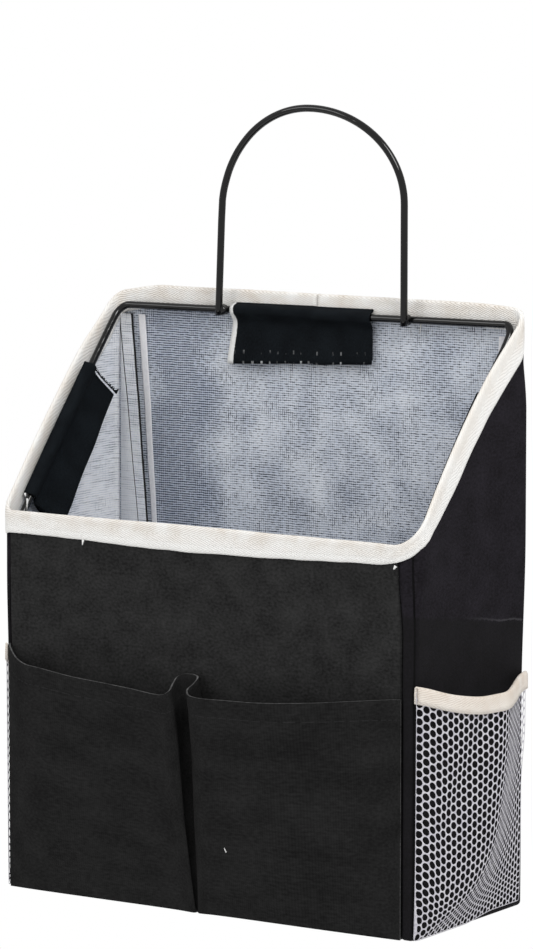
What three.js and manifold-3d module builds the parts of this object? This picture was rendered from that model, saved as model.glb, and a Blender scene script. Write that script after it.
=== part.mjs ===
// Wall hanging organizer: a canvas bag with a slanted rim, stiffened by a wire loop and hung by a wire arch.
// Millimetres, +Z up. The wall is at +Y, the front faces -Y and +X is the right side seen from the front.
// The origin is the underside of the arch's top, where a wall hook bears.
import * as THREE from "three";
import { mergeVertices } from "three/addons/utils/BufferGeometryUtils.js";
import Module from "manifold-3d";

// Bag
const bagWidth = 210;
const bagDepth = 90;
const frontHeight = 166;
const backHeight = 259;
const canvas = 1.2;
const footCornerRadius = 3;
const bottomCornerRadius = 2;
const rimFrontCornerRadius = 12;
const rimBackCornerRadius = 7;
const cornerBlend = 30;
const seamGap = 0.3;
const allowanceWidth = 12.5;
const allowanceThickness = 0.8;

// Rim binding, a tape folded over the raw top edges
const bindingWidth = 10;
const tape = 0.7;
const pressedEdge = 0.6;
const foldHeight = 0.7;

// Wire
const wireDiameter = 3.5;
const wireSides = 12;
const loopDropBack = 7;
const loopDropFront = 6;
const archHalfWidth = 48.4;
const archLegHeight = 49.5;
const archRise = 40;
const legOverhang = 3;
const weldRadius = 2.5;

// Hook-and-loop flaps that hold the wire loop, and the patches they close on
const flapLength = 72;
const flapReach = 20.5;
const flapThickness = 1;
const flapRootHeight = 4.2;
const flapLandAngle = 60;
const flapLeaveAngle = -45;
const backFlapOffset = -5.5;
const sideFlapOffset = 10;
const patchThickness = 1;
const patchInset = 1;
const patchWidth = 11;

// Front pocket, one hemmed piece with a pleat at its middle
const pocketCloth = 1;
const hemHeight = 9;
const hemThickness = 0.7;
const pocketStandOff = 11;
const pocketSideHeight = 107;
const pocketSag = 9.5;
const pleatCentre = -8.5;
const pleatWidth = 11;
const pleatFootShare = 1 / 3;

// Net pockets
const netThickness = 0.8;
const netBulge = 15;
const netRidge = 0.56;
const netFullness = 0.7;
const netMargin = 3;
const netPitch = 8.6;
const netStrand = 1.8;
const netEdge = 2;
const netFrontHeight = 110;
const netBackHeight = 103;
const netSag = 7.4;
const netBindingHeight = 7;

// Finishes
const blackCanvas = new THREE.Color("#232325");
const creamTape = new THREE.Color("#e9e2d4");
const blackWire = new THREE.Color("#0d0d0f");
const blackHook = new THREE.Color("#111517");
const whiteNet = new THREE.Color("#ecebee");

// Steps of round stretches
const cornerSteps = 6;
const archSteps = 28;
const bulgeSteps = 8;
const bottomCornerSteps = 4;
const netBindingSteps = 24;

const wireRadius = wireDiameter / 2;
const halfWidth = bagWidth / 2;
const rimSlope = (backHeight - frontHeight) / bagDepth;
const bindingEnd = bindingWidth + seamGap;
const bindingInner = canvas / 2 + pressedEdge / 2 + seamGap + tape;
const wireInset = bindingInner + seamGap + wireRadius;
const loopBackHeight = backHeight - loopDropBack;
const loopFrontHeight = frontHeight - loopDropFront;
const loopSlope = (loopBackHeight - loopFrontHeight) / (bagDepth - 2 * wireInset);
const archPlane = -(wireInset + wireDiameter + seamGap);
const archTop = loopBackHeight + archLegHeight + archRise;

const wasm = await Module();
wasm.setup();

const point = (x, y, z) => new THREE.Vector3(x, y, z);
const mix = THREE.MathUtils.lerp;

// Solid modelling

// A closed mesh keeps only its positions, with the shared vertices merged.
function closedMesh(geometry) {
  geometry.deleteAttribute("normal");
  geometry.deleteAttribute("uv");
  return mergeVertices(geometry, 1e-5);
}

function meshFrom(vertices, faces) {
  const geometry = new THREE.BufferGeometry().setFromPoints(vertices);
  geometry.setIndex(faces);
  return geometry;
}

// Triangles over one end of a loft, turned the way that the section runs.
function capFaces(section) {
  const normal = point(0, 0, 0);
  section.forEach((corner, i) => {
    const next = section[(i + 1) % section.length];
    normal.add(point(0, 0, 0).crossVectors(corner, next));
  });
  normal.normalize();
  const turn = new THREE.Quaternion().setFromUnitVectors(normal, point(0, 0, 1));
  const flat = section.map((corner) => {
    const turned = corner.clone().applyQuaternion(turn);
    return new THREE.Vector2(turned.x, turned.y);
  });
  return THREE.ShapeUtils.triangulateShape(flat, []).map(([a, b, c]) => {
    const area = THREE.ShapeUtils.area([flat[a], flat[b], flat[c]]);
    return area > 0 ? [a, b, c] : [a, c, b];
  });
}

// The end of a sheet, whose section runs along one face and back along the other.
function sheetCapFaces(section) {
  const last = section.length - 1;
  return Array.from({ length: section.length / 2 - 1 }, (_, i) => [
    [i, i + 1, last - i - 1],
    [i, last - i - 1, last - i],
  ]).flat();
}

// A solid through a row of sections with equally many corners, either capped or closed into a ring.
function loft(sections, { ring = false, cap = capFaces } = {}) {
  const size = sections[0].length;
  const faces = [];
  const spans = ring ? sections.length : sections.length - 1;
  for (let j = 0; j < spans; j += 1) {
    const near = j * size;
    const far = ((j + 1) % sections.length) * size;
    for (let i = 0; i < size; i += 1) {
      const next = (i + 1) % size;
      faces.push(near + i, near + next, far + next);
      faces.push(near + i, far + next, far + i);
    }
  }
  if (!ring) {
    const last = (sections.length - 1) * size;
    cap(sections[0]).forEach(([a, b, c]) => faces.push(a, c, b));
    cap(sections.at(-1)).forEach(([a, b, c]) => faces.push(last + a, last + b, last + c));
  }
  return facingOut(meshFrom(sections.flat(), faces));
}

function flipped(geometry) {
  const index = geometry.index.array;
  for (let i = 0; i < index.length; i += 3) {
    [index[i + 1], index[i + 2]] = [index[i + 2], index[i + 1]];
  }
  return geometry;
}

function facingOut(geometry) {
  const position = geometry.attributes.position;
  const index = geometry.index.array;
  const corner = (i) => point(0, 0, 0).fromBufferAttribute(position, index[i]);
  let volume = 0;
  for (let i = 0; i < index.length; i += 3) {
    volume += corner(i).dot(corner(i + 1).cross(corner(i + 2)));
  }
  return volume < 0 ? flipped(geometry) : geometry;
}

function mirrored(geometry) {
  return flipped(geometry.clone().scale(-1, 1, 1));
}

function toSolid(geometry) {
  const mesh = closedMesh(geometry.clone());
  return new wasm.Manifold(new wasm.Mesh({
    numProp: 3,
    vertProperties: new Float32Array(mesh.attributes.position.array),
    triVerts: new Uint32Array(mesh.index.array),
  }));
}

function toGeometry(solid) {
  const mesh = solid.getMesh();
  const geometry = new THREE.BufferGeometry();
  geometry.setAttribute("position", new THREE.BufferAttribute(mesh.vertProperties, 3));
  geometry.setIndex(new THREE.BufferAttribute(mesh.triVerts, 1));
  return geometry;
}

// A rod of round wire along points that lie in one plane.
function bentRod(path, planeNormal, radius, ring = false) {
  const sections = path.map((here, i) => {
    const before = ring ? path.at(i - 1) : path[Math.max(i - 1, 0)];
    const after = ring ? path[(i + 1) % path.length] : path[Math.min(i + 1, path.length - 1)];
    const incoming = here.clone().sub(before).normalize();
    const outgoing = after.clone().sub(here).normalize();
    const along = incoming.clone().add(outgoing).normalize();
    const side = point(0, 0, 0).crossVectors(along, planeNormal);
    const bend = incoming.lengthSq() && outgoing.lengthSq() ? along.dot(outgoing) : 1;
    return Array.from({ length: wireSides }, (_, k) => {
      const angle = (2 * Math.PI * (k + 0.5)) / wireSides;
      const across = side.clone().multiplyScalar((radius * Math.cos(angle)) / bend);
      return here.clone().add(across).addScaledVector(planeNormal, radius * Math.sin(angle));
    });
  });
  return loft(sections, { ring });
}

// Bag wall

// A station of the wall is an angle round one of its four corners, moved by an amount along the wall.
function arcStations(side, end, from, to, steps) {
  return Array.from({ length: steps + 1 }, (_, i) => ({
    side,
    end,
    angle: THREE.MathUtils.degToRad(mix(from, to, i / steps)),
    along: 0,
  }));
}

function rimCornerRadius({ end }) {
  return end < 0 ? rimFrontCornerRadius : rimBackCornerRadius;
}

// The corners keep the rim's radius under the binding and draw in to a crisp edge below it.
function cornerRadius(station, drop) {
  const rounding = THREE.MathUtils.smoothstep(bindingEnd + cornerBlend - drop, 0, cornerBlend);
  return mix(footCornerRadius, rimCornerRadius(station), rounding);
}

function planPoint(station, radius, inset) {
  const { side, end, angle, along } = station;
  const reach = radius - inset;
  const x = side * (halfWidth - radius) + reach * Math.cos(angle) - along * Math.sin(angle);
  const y = end * (bagDepth / 2 - radius) + reach * Math.sin(angle) + along * Math.cos(angle);
  return { x, y: station.fixedY ?? y - bagDepth / 2 };
}

const rimHeight = (y) => backHeight + rimSlope * y;

// A point of the wall, at a drop below the rim, measured square to it, and at a depth below the outer face.
function wallPoint(station, drop, inset) {
  const { x, y } = planPoint(station, cornerRadius(station, drop), inset);
  const rim = rimHeight(planPoint(station, rimCornerRadius(station), 0).y);
  const stretch = Math.hypot(1, rimSlope * Math.cos(station.angle));
  return point(x, y, rim - drop * stretch);
}

function footPoint(station, inset) {
  const { x, y } = planPoint(station, footCornerRadius, inset);
  return point(x, y, 0);
}

// A panel of the wall. Its top edge is pressed thin where the binding folds over it.
function wallPanel(stations) {
  const closed = (place, outer, inner) => [
    ...stations.map((station) => place(station, outer)),
    ...stations.toReversed().map((station) => place(station, inner(station))),
  ];
  const full = (station) => canvas + (station.allowance ? allowanceThickness : 0);
  const outerEdge = (canvas - pressedEdge) / 2;
  const innerEdge = () => (canvas + pressedEdge) / 2;
  const level = (drop) => (station, inset) => wallPoint(station, drop, inset);
  return loft([
    closed(footPoint, 0, full),
    closed(level(bindingEnd + cornerBlend), 0, full),
    closed(level(bindingEnd + (2 * cornerBlend) / 3), 0, full),
    closed(level(bindingEnd + cornerBlend / 3), 0, full),
    closed(level(bindingEnd), 0, full),
    closed(level(bindingEnd), outerEdge, innerEdge),
    closed(level(0), outerEdge, innerEdge),
  ], { cap: sheetCapFaces });
}

function seamStations(side, end, from, to, atStart) {
  const stations = arcStations(side, end, from, to, cornerSteps / 2);
  stations.at(atStart ? 0 : -1).along = (atStart ? seamGap : -seamGap) / 2;
  return stations;
}

function frontPanel() {
  return wallPanel([...seamStations(-1, -1, 225, 270, true), ...seamStations(1, -1, 270, 315, false)]);
}

function backPanel() {
  return wallPanel([...seamStations(1, 1, 45, 90, true), ...seamStations(-1, 1, 90, 135, false)]);
}

// The side panels carry the seam allowances, which are turned onto them inside.
function sidePanel() {
  const front = seamStations(1, -1, -45, 0, true);
  const back = seamStations(1, 1, 0, 45, false);
  const strip = (y, allowance) => ({ side: 1, end: 1, angle: 0, along: 0, fixedY: y, allowance });
  const frontStrip = -bagDepth + allowanceWidth;
  const foldWidth = allowanceThickness / 4;
  front.concat(back).forEach((station) => {
    station.allowance = station.angle === 0;
  });
  return wallPanel([
    ...front,
    strip(frontStrip, true),
    strip(frontStrip + foldWidth, false),
    strip(-allowanceWidth - foldWidth, false),
    strip(-allowanceWidth, true),
    ...back,
  ]);
}

function bottomPanel() {
  const clearance = canvas + allowanceThickness + seamGap;
  const radius = bottomCornerRadius;
  const shape = new THREE.Shape();
  const x = halfWidth - clearance;
  const front = -bagDepth + clearance;
  const back = -clearance;
  shape.moveTo(-x + radius, front);
  shape.absarc(x - radius, front + radius, radius, -Math.PI / 2, 0);
  shape.absarc(x - radius, back - radius, radius, 0, Math.PI / 2);
  shape.absarc(-x + radius, back - radius, radius, Math.PI / 2, Math.PI);
  shape.absarc(-x + radius, front + radius, radius, Math.PI, 1.5 * Math.PI);
  const options = { depth: canvas, bevelEnabled: false, curveSegments: bottomCornerSteps };
  return new THREE.ExtrudeGeometry(shape, options);
}

function rimLoopStations() {
  return [
    ...arcStations(1, -1, -90, 0, cornerSteps),
    ...arcStations(1, 1, 0, 90, cornerSteps),
    ...arcStations(-1, 1, 90, 180, cornerSteps),
    ...arcStations(-1, -1, 180, 270, cornerSteps),
  ];
}

function rimBinding() {
  const outer = canvas / 2 - pressedEdge / 2 - seamGap - tape;
  const top = -seamGap;
  const profile = [
    [outer, bindingWidth],
    [outer, top],
    [outer + tape / 2, top - foldHeight],
    [bindingInner - tape / 2, top - foldHeight],
    [bindingInner, top],
    [bindingInner, bindingWidth],
    [bindingInner - tape, bindingWidth],
    [bindingInner - tape, top],
    [outer + tape, top],
    [outer + tape, bindingWidth],
  ];
  const section = (station) => profile.map(([inset, drop]) => wallPoint(station, drop, inset));
  return loft(rimLoopStations().map(section), { ring: true });
}

// Wires

const loopHeight = (y) => loopBackHeight + loopSlope * (y + wireInset);
const loopNormal = point(0, -loopSlope, 1).normalize();

function loopPath() {
  return rimLoopStations().map((station) => {
    const { x, y } = planPoint(station, rimCornerRadius(station), wireInset);
    return point(x, y, loopHeight(y));
  });
}

function rimWire(radius = wireRadius) {
  return bentRod(loopPath(), loopNormal, radius, true);
}

// The arch: two straight legs joined by a half ellipse, each leg lapped on the loop and welded to it.
function hangerArch() {
  const springing = loopBackHeight + archLegHeight;
  const crown = Array.from({ length: archSteps + 1 }, (_, i) => {
    const angle = (Math.PI * i) / archSteps;
    return point(-archHalfWidth * Math.cos(angle), archPlane, springing + archRise * Math.sin(angle));
  });
  const foot = loopBackHeight - legOverhang;
  const path = [point(-archHalfWidth, archPlane, foot), ...crown, point(archHalfWidth, archPlane, foot)];
  let arch = toSolid(bentRod(path, point(0, 1, 0), wireRadius));
  for (const side of [-1, 1]) {
    const bead = new THREE.SphereGeometry(weldRadius, 12, 8);
    bead.translate(side * archHalfWidth, (archPlane - wireInset) / 2, loopBackHeight);
    arch = arch.add(toSolid(bead));
  }
  return toGeometry(arch.subtract(toSolid(rimWire(wireRadius + seamGap))));
}

// Flaps

// A run of the wire loop: a place on its centre line, the way into the bag and the way up along the wall.
const sideUp = point(0, -loopSlope, 1).normalize();
const sideAlong = point(0, 1, loopSlope).normalize();
const sideMiddle = point(halfWidth - wireInset, -bagDepth / 2, loopHeight(-bagDepth / 2))
  .addScaledVector(sideAlong, -sideFlapOffset);

const runs = {
  back: {
    middle: point(backFlapOffset, -wireInset, loopBackHeight),
    inward: point(0, -1, 0),
    up: point(0, 0, 1),
  },
  front: {
    middle: point(0, -bagDepth + wireInset, loopFrontHeight),
    inward: point(0, 1, 0),
    up: point(0, 0, 1),
  },
  right: { middle: sideMiddle, inward: point(-1, 0, 0), up: sideUp },
  left: { middle: sideMiddle.clone().multiply(point(-1, 1, 1)), inward: point(1, 0, 0), up: sideUp },
};

function onRun(mesh, run) {
  const along = point(0, 0, 0).crossVectors(run.inward, run.up);
  mesh.setRotationFromMatrix(new THREE.Matrix4().makeBasis(run.inward, run.up, along));
  mesh.position.copy(run.middle);
  return mesh;
}

const liningLevel = canvas - wireInset;

// A flap in section about the wire's centre. From the binding it runs straight to the wire, wraps it, runs
// straight back to the wall and hangs over the patch.
function flapGeometry() {
  const rootLevel = bindingInner - wireInset + seamGap;
  const hangLevel = liningLevel + patchThickness + 2 * seamGap;
  const near = wireRadius + seamGap;
  const far = near + flapThickness;
  const land = THREE.MathUtils.degToRad(flapLandAngle);
  const leave = THREE.MathUtils.degToRad(flapLeaveAngle);
  const bend = (level, radius, angle) => (radius - level * Math.cos(angle)) / Math.sin(angle);
  const shape = new THREE.Shape();
  shape.moveTo(rootLevel, flapRootHeight);
  shape.lineTo(rootLevel, bend(rootLevel, near, land));
  shape.absarc(0, 0, near, land, leave, true);
  shape.lineTo(hangLevel, bend(hangLevel, near, leave));
  shape.lineTo(hangLevel, -flapReach);
  shape.lineTo(hangLevel + flapThickness, -flapReach);
  shape.lineTo(hangLevel + flapThickness, bend(hangLevel + flapThickness, far, leave));
  shape.absarc(0, 0, far, leave, land, false);
  shape.lineTo(rootLevel + flapThickness, bend(rootLevel + flapThickness, far, land));
  shape.lineTo(rootLevel + flapThickness, flapRootHeight);
  const options = { depth: flapLength, bevelEnabled: false, curveSegments: bulgeSteps };
  return new THREE.ExtrudeGeometry(shape, options).translate(0, 0, -flapLength / 2);
}

function patchGeometry() {
  const length = flapLength - 2 * patchInset;
  const bottom = -flapReach + patchInset;
  const geometry = new THREE.BoxGeometry(patchThickness, patchWidth, length);
  return geometry.translate(liningLevel + seamGap + patchThickness / 2, bottom + patchWidth / 2, 0);
}

// Front pocket

// The mouth seen from above: distance from the middle, share of the stand-off, and share of the sag.
// The pleat folds in to the panel at its centre and comes straight out again.
const pocketEnd = halfWidth - 1.5;
const seat = (seamGap + hemThickness + pocketCloth / 2 + 0.1) / pocketStandOff;
const pocketMouth = [
  [-pocketEnd, seat, 0],
  [-halfWidth + 11, 0.62, 0.45],
  [-halfWidth + 22, 0.9, 0.72],
  [-60, 1, 0.86],
  [-34, 1, 0.97],
  [pleatCentre - pleatWidth - 4, 0.97, 1],
  [pleatCentre - pleatWidth, 0.84, 1],
  [pleatCentre - 0.45 * pleatWidth, 0.42, 0.5],
  [pleatCentre - 0.9, seat + 0.01, 0.2],
  [pleatCentre + 0.9, seat + 0.02, 0.2],
  [pleatCentre + 1.5, 0.5, 0.6],
  [pleatCentre + 2.4, 0.84, 0.98],
  [pleatCentre + 6, 0.98, 1],
  [30, 1, 0.9],
  [64, 0.82, 0.62],
  [halfWidth - 14, 0.5, 0.26],
  [pocketEnd, seat, 0],
];
const pocketSteps = 64;
const pocketRows = [0, 0.25, 0.5, 0.75];

function pocketCurve(heightShare) {
  const footStandOff = seamGap + pocketCloth / 2;
  const controls = pocketMouth.map(([x, out, sag]) => {
    const inPleat = Math.abs(x - pleatCentre) < pleatWidth + 1;
    const footX = inPleat ? pleatCentre + (x - pleatCentre) * pleatFootShare : x;
    const standOff = mix(footStandOff, out * pocketStandOff, heightShare);
    const height = heightShare * (pocketSideHeight - sag * pocketSag);
    return point(mix(footX, x, heightShare), -bagDepth - standOff, height);
  });
  return new THREE.CatmullRomCurve3(controls, false, "centripetal");
}

function pocketSection(heightShare, hem) {
  const curve = pocketCurve(heightShare);
  const middle = Array.from({ length: pocketSteps + 1 }, (_, i) => curve.getPoint(i / pocketSteps));
  const offset = (distance) => middle.map((here, i) => {
    const before = middle[Math.max(i - 1, 0)];
    const after = middle[Math.min(i + 1, pocketSteps)];
    const outward = point(after.y - before.y, before.x - after.x, 0).normalize();
    return here.clone().addScaledVector(outward, distance);
  });
  return [...offset(pocketCloth / 2), ...offset(-pocketCloth / 2 - hem).toReversed()];
}

function frontPocket() {
  const hemLine = 1 - hemHeight / pocketSideHeight;
  return loft([
    ...pocketRows.map((share) => pocketSection(share, 0)),
    pocketSection(hemLine, 0),
    pocketSection(hemLine, hemThickness),
    pocketSection(1, hemThickness),
  ], { cap: sheetCapFaces });
}

// Net pockets

const netLength = bagDepth - 2 * netEdge;
const netTopGap = tape + seamGap;

function netMouth(share) {
  return mix(netFrontHeight, netBackHeight, share) - netSag * 4 * share * (1 - share);
}

// The net stands off the side panel in a rounded ridge that fades towards the foot.
function netStandOff(share, rise) {
  const skew = Math.log(0.5) / Math.log(netRidge);
  const round = Math.sin(Math.PI * Math.min(share, 1) ** skew);
  const fade = Math.sin((Math.PI / 2) * rise) ** netFullness;
  return mix(seamGap, tape + 2 * seamGap, rise) + netBulge * round * fade;
}

// A flat sheet gathered from small polygons, whose shared corners are merged.
class FlatSheet {
  corners = [];
  triangles = [];
  known = new Map();

  corner({ x, y }) {
    const key = `${x.toFixed(4)},${y.toFixed(4)}`;
    if (!this.known.has(key)) {
      this.known.set(key, this.corners.length);
      this.corners.push(new THREE.Vector2(x, y));
    }
    return this.known.get(key);
  }

  add(...outline) {
    THREE.ShapeUtils.triangulateShape(outline, []).forEach((triangle) => {
      const turned = THREE.ShapeUtils.area(triangle.map((i) => outline[i])) > 0;
      const [a, b, c] = triangle.map((i) => this.corner(outline[i]));
      this.triangles.push(turned ? [a, b, c] : [a, c, b]);
    });
  }

  // The edges that belong to one triangle only: the outline and the rims of the holes.
  openEdges() {
    const edges = this.triangles.flatMap(([a, b, c]) => [[a, b], [b, c], [c, a]]);
    const keys = new Set(edges.map(String));
    return edges.filter(([a, b]) => !keys.has(String([b, a])));
  }

  // The sheet given a thickness and laid over a form, which places each corner of its two faces.
  laidOver(form) {
    const count = this.corners.length;
    const vertices = [0, 1].flatMap((face) => this.corners.map((corner) => form(corner, face)));
    const faces = this.triangles.flatMap(([a, b, c]) => [a, c, b, a + count, b + count, c + count]);
    this.openEdges().forEach(([a, b]) => faces.push(a, b, b + count, a, b + count, a + count));
    return facingOut(meshFrom(vertices, faces));
  }
}

// The six corners of a gap in the net, from its upper left one clockwise.
function hexagon(x, y, radius) {
  const [ul, top, ur, lr, foot, ll] = Array.from({ length: 6 }, (_, k) => {
    const angle = (Math.PI / 6) * (5 - 2 * k);
    return new THREE.Vector2(x + radius * Math.cos(angle), y + radius * Math.sin(angle));
  });
  return { ul, top, ur, lr, foot, ll };
}

// Rows of hexagonal gaps, each row set between the gaps of the row below. The odd rows have one gap fewer.
function netGaps(left, right, bottom, top) {
  const rowPitch = (netPitch * Math.sqrt(3)) / 2;
  const radius = (netPitch - netStrand) / Math.sqrt(3);
  const fitted = Math.floor((top - bottom - 2 * radius) / rowPitch);
  const rows = fitted - (fitted % 2) + 1;
  const columns = Math.floor((right - left + netStrand) / netPitch);
  const firstX = (left + right - (columns - 1) * netPitch) / 2;
  const firstY = (bottom + top - (rows - 1) * rowPitch) / 2;
  return Array.from({ length: rows }, (_, row) => {
    const shift = (row % 2) * (netPitch / 2);
    const place = (column) => hexagon(firstX + shift + column * netPitch, firstY + row * rowPitch, radius);
    return Array.from({ length: columns - (row % 2) }, (__, column) => place(column));
  });
}

// The strands between neighbouring gaps, and the small triangle where three strands meet.
function addStrands(sheet, gaps) {
  gaps.forEach((row, r) => {
    const inset = r % 2;
    const above = gaps[r + 1];
    row.forEach((gap, c) => {
      const beside = row[c + 1];
      const aboveRight = above?.[c + inset];
      const aboveLeft = above?.[c + inset - 1];
      if (beside) {
        sheet.add(gap.lr, beside.ll, beside.ul, gap.ur);
      }
      if (aboveRight) {
        sheet.add(gap.top, gap.ur, aboveRight.foot, aboveRight.ll);
      }
      if (aboveLeft) {
        sheet.add(gap.ul, gap.top, aboveLeft.lr, aboveLeft.foot);
      }
      if (aboveLeft && aboveRight) {
        sheet.add(gap.top, aboveRight.ll, aboveLeft.lr);
      }
      if (beside && aboveRight) {
        sheet.add(gap.ur, beside.ul, aboveRight.foot);
      }
    });
  });
}

// The solid margin at the net's two upright edges.
function addSideMargins(sheet, gaps, width) {
  const at = (x, y) => new THREE.Vector2(x, y);
  for (let r = 0; r < gaps.length; r += 2) {
    const first = gaps[r][0];
    const last = gaps[r].at(-1);
    sheet.add(at(0, first.ll.y), first.ll, first.ul, at(0, first.ul.y));
    sheet.add(at(width, last.ur.y), last.ur, last.lr, at(width, last.lr.y));
    if (r + 2 < gaps.length) {
      const set = gaps[r + 1];
      const next = gaps[r + 2];
      const from = first.ul.y;
      const to = next[0].ll.y;
      sheet.add(at(0, from), first.ul, first.top, set[0].ll, set[0].ul, next[0].foot, next[0].ll, at(0, to));
      const back = [next.at(-1).lr, next.at(-1).foot, set.at(-1).ur, set.at(-1).lr, last.top, last.ur];
      sheet.add(at(width, to), ...back, at(width, from));
    }
  }
}

// The solid margin below the first row of gaps or above the last, out to a level and then to the net's edge.
function addEndMargin(sheet, row, corners, level, edge, width) {
  const at = (x, y) => new THREE.Vector2(x, y);
  const [left, tip, right] = corners;
  const stops = [0];
  row.forEach((gap, c) => {
    const beside = row[c + 1];
    const before = stops.at(-1);
    const middle = gap[tip].x;
    const after = beside ? (gap[right].x + beside[left].x) / 2 : width;
    const outerStart = c === 0 ? [at(before, gap[left].y)] : [];
    const outerEnd = beside ? [] : [at(after, gap[right].y)];
    sheet.add(at(before, level), ...outerStart, gap[left], gap[tip], at(middle, level));
    sheet.add(at(middle, level), gap[tip], gap[right], ...outerEnd, at(after, level));
    if (beside) {
      sheet.add(gap[right], beside[left], at(after, level));
    }
    stops.push(middle, after);
  });
  stops.slice(1).forEach((stop, i) => {
    sheet.add(at(stops[i], level), at(stop, level), at(stop, edge), at(stops[i], edge));
  });
}

// The net lies flat first, as high as its back corner, and is then drawn out over the ridge.
function netPocket() {
  const sheet = new FlatSheet();
  const bandFoot = netBackHeight - netTopGap - netBindingHeight;
  const gaps = netGaps(netMargin, netLength - netMargin, netMargin, bandFoot - netStrand / 2);
  addStrands(sheet, gaps);
  addSideMargins(sheet, gaps, netLength);
  addEndMargin(sheet, gaps[0], ["ll", "foot", "lr"], netStrand / 2, 0, netLength);
  addEndMargin(sheet, gaps.at(-1), ["ul", "top", "ur"], bandFoot, netBackHeight, netLength);
  return sheet.laidOver((corner, face) => {
    const share = corner.x / netLength;
    const rise = corner.y / netBackHeight;
    const height = seamGap + rise * (netMouth(share) - netTopGap - seamGap);
    const out = netStandOff(share, rise) + face * netThickness;
    return point(halfWidth + out, -bagDepth + netEdge + corner.x, height);
  });
}

function netBinding() {
  const sections = Array.from({ length: netBindingSteps + 1 }, (_, i) => {
    const share = i / netBindingSteps;
    const slot = halfWidth + netStandOff(share, 1);
    const y = -bagDepth + netEdge + share * netLength;
    const top = netMouth(share);
    const foot = top - netBindingHeight;
    const inner = slot - seamGap;
    const outer = slot + netThickness + seamGap;
    const shoulder = top - tape / 2;
    return [
      [inner - tape, foot],
      [inner - tape, shoulder],
      [inner - tape / 2, top],
      [outer + tape / 2, top],
      [outer + tape, shoulder],
      [outer + tape, foot],
      [outer, foot],
      [outer, top - tape],
      [inner, top - tape],
      [inner, foot],
    ].map(([x, z]) => point(x, y, z));
  });
  return loft(sections);
}

// Assembly

function finish(color, roughness, metalness = 0) {
  return new THREE.MeshStandardMaterial({ color, roughness, metalness });
}

const canvasFinish = finish(blackCanvas, 0.95);
const tapeFinish = finish(creamTape, 0.9);
const wireFinish = finish(blackWire, 0.25, 0.2);
const hookFinish = finish(blackHook, 1);
const netFinish = finish(whiteNet, 0.7);

function piece(name, geometry, material) {
  const mesh = new THREE.Mesh(geometry, material);
  mesh.name = name;
  return mesh;
}

function bagPieces() {
  const bag = new THREE.Group();
  const side = sidePanel();
  bag.add(piece("back_panel", backPanel(), canvasFinish));
  bag.add(piece("front_panel", frontPanel(), canvasFinish));
  bag.add(piece("side_panel_right", side, canvasFinish));
  bag.add(piece("side_panel_left", mirrored(side), canvasFinish));
  bag.add(piece("bottom_panel", bottomPanel(), canvasFinish));
  bag.add(piece("rim_binding", rimBinding(), tapeFinish));
  return bag;
}

function pocketPieces() {
  const pockets = new THREE.Group();
  const net = netPocket();
  const binding = netBinding();
  pockets.add(piece("front_pocket", frontPocket(), canvasFinish));
  pockets.add(piece("mesh_pocket_right", net, netFinish));
  pockets.add(piece("mesh_pocket_left", mirrored(net), netFinish));
  pockets.add(piece("pocket_binding_right", binding, tapeFinish));
  pockets.add(piece("pocket_binding_left", mirrored(binding), tapeFinish));
  return pockets;
}

function wirePieces() {
  const frame = new THREE.Group();
  frame.add(piece("rim_wire", rimWire(), wireFinish));
  frame.add(piece("hanger_arch", hangerArch(), wireFinish));
  return frame;
}

function flapPieces() {
  const flaps = new THREE.Group();
  for (const [name, run] of Object.entries(runs)) {
    flaps.add(onRun(piece(`flap_${name}`, flapGeometry(), hookFinish), run));
    flaps.add(onRun(piece(`hook_patch_${name}`, patchGeometry(), hookFinish), run));
  }
  return flaps;
}

const organizer = new THREE.Group();
organizer.name = "wall_hanging_organizer";
organizer.position.set(0, -archPlane, -(archTop - wireRadius));
organizer.add(bagPieces(), pocketPieces(), wirePieces(), flapPieces());

export default organizer;
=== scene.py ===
"""A canvas wall bag with a slanted rim, held open by a wire loop and hung by a wire arch."""
from math import cos, exp, floor, hypot, log, pi, radians, sin, sqrt

import bmesh
import bpy
from mathutils import Matrix, Vector, noise


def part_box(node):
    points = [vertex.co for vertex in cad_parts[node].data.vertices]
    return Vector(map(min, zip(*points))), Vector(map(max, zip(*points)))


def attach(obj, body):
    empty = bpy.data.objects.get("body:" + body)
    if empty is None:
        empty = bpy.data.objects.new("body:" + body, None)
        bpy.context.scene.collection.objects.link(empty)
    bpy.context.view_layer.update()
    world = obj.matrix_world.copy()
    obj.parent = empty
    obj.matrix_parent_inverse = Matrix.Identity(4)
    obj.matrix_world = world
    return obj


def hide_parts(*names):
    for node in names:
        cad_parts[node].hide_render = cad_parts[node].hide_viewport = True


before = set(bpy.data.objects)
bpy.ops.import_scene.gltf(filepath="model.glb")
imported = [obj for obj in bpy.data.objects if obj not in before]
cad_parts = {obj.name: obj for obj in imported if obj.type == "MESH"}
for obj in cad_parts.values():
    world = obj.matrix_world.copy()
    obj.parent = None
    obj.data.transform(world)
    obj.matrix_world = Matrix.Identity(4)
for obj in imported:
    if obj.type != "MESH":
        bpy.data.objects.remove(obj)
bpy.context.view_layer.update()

# ------------------------------
# The camera stands well to the right of the bag's front and a little above
# its rim, at the distance and with the lens of the photo.
MM = 0.001
CAMERA_TURN = radians(33.13)
CAMERA_RISE = radians(7.21)
CAMERA_DISTANCE = 2.113
CAMERA_TARGET = Vector((0.00521, -0.04225, -0.15378))
LONG_SIDE_PIXELS = 949
FOCAL_PIXELS = 4907
SENSOR = 36.0


def link(name, data):
    made = bpy.data.objects.new(name, data)
    bpy.context.collection.objects.link(made)
    return made


def aim(holder, turn, rise, distance):
    """Places a camera or lamp round the bag and turns it to the bag."""
    away = Vector((sin(turn) * cos(rise), -cos(turn) * cos(rise), sin(rise)))
    holder.location = CAMERA_TARGET + distance * away
    holder.rotation_mode = "QUATERNION"
    holder.rotation_quaternion = (-away).to_track_quat("-Z", "Y")


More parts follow.
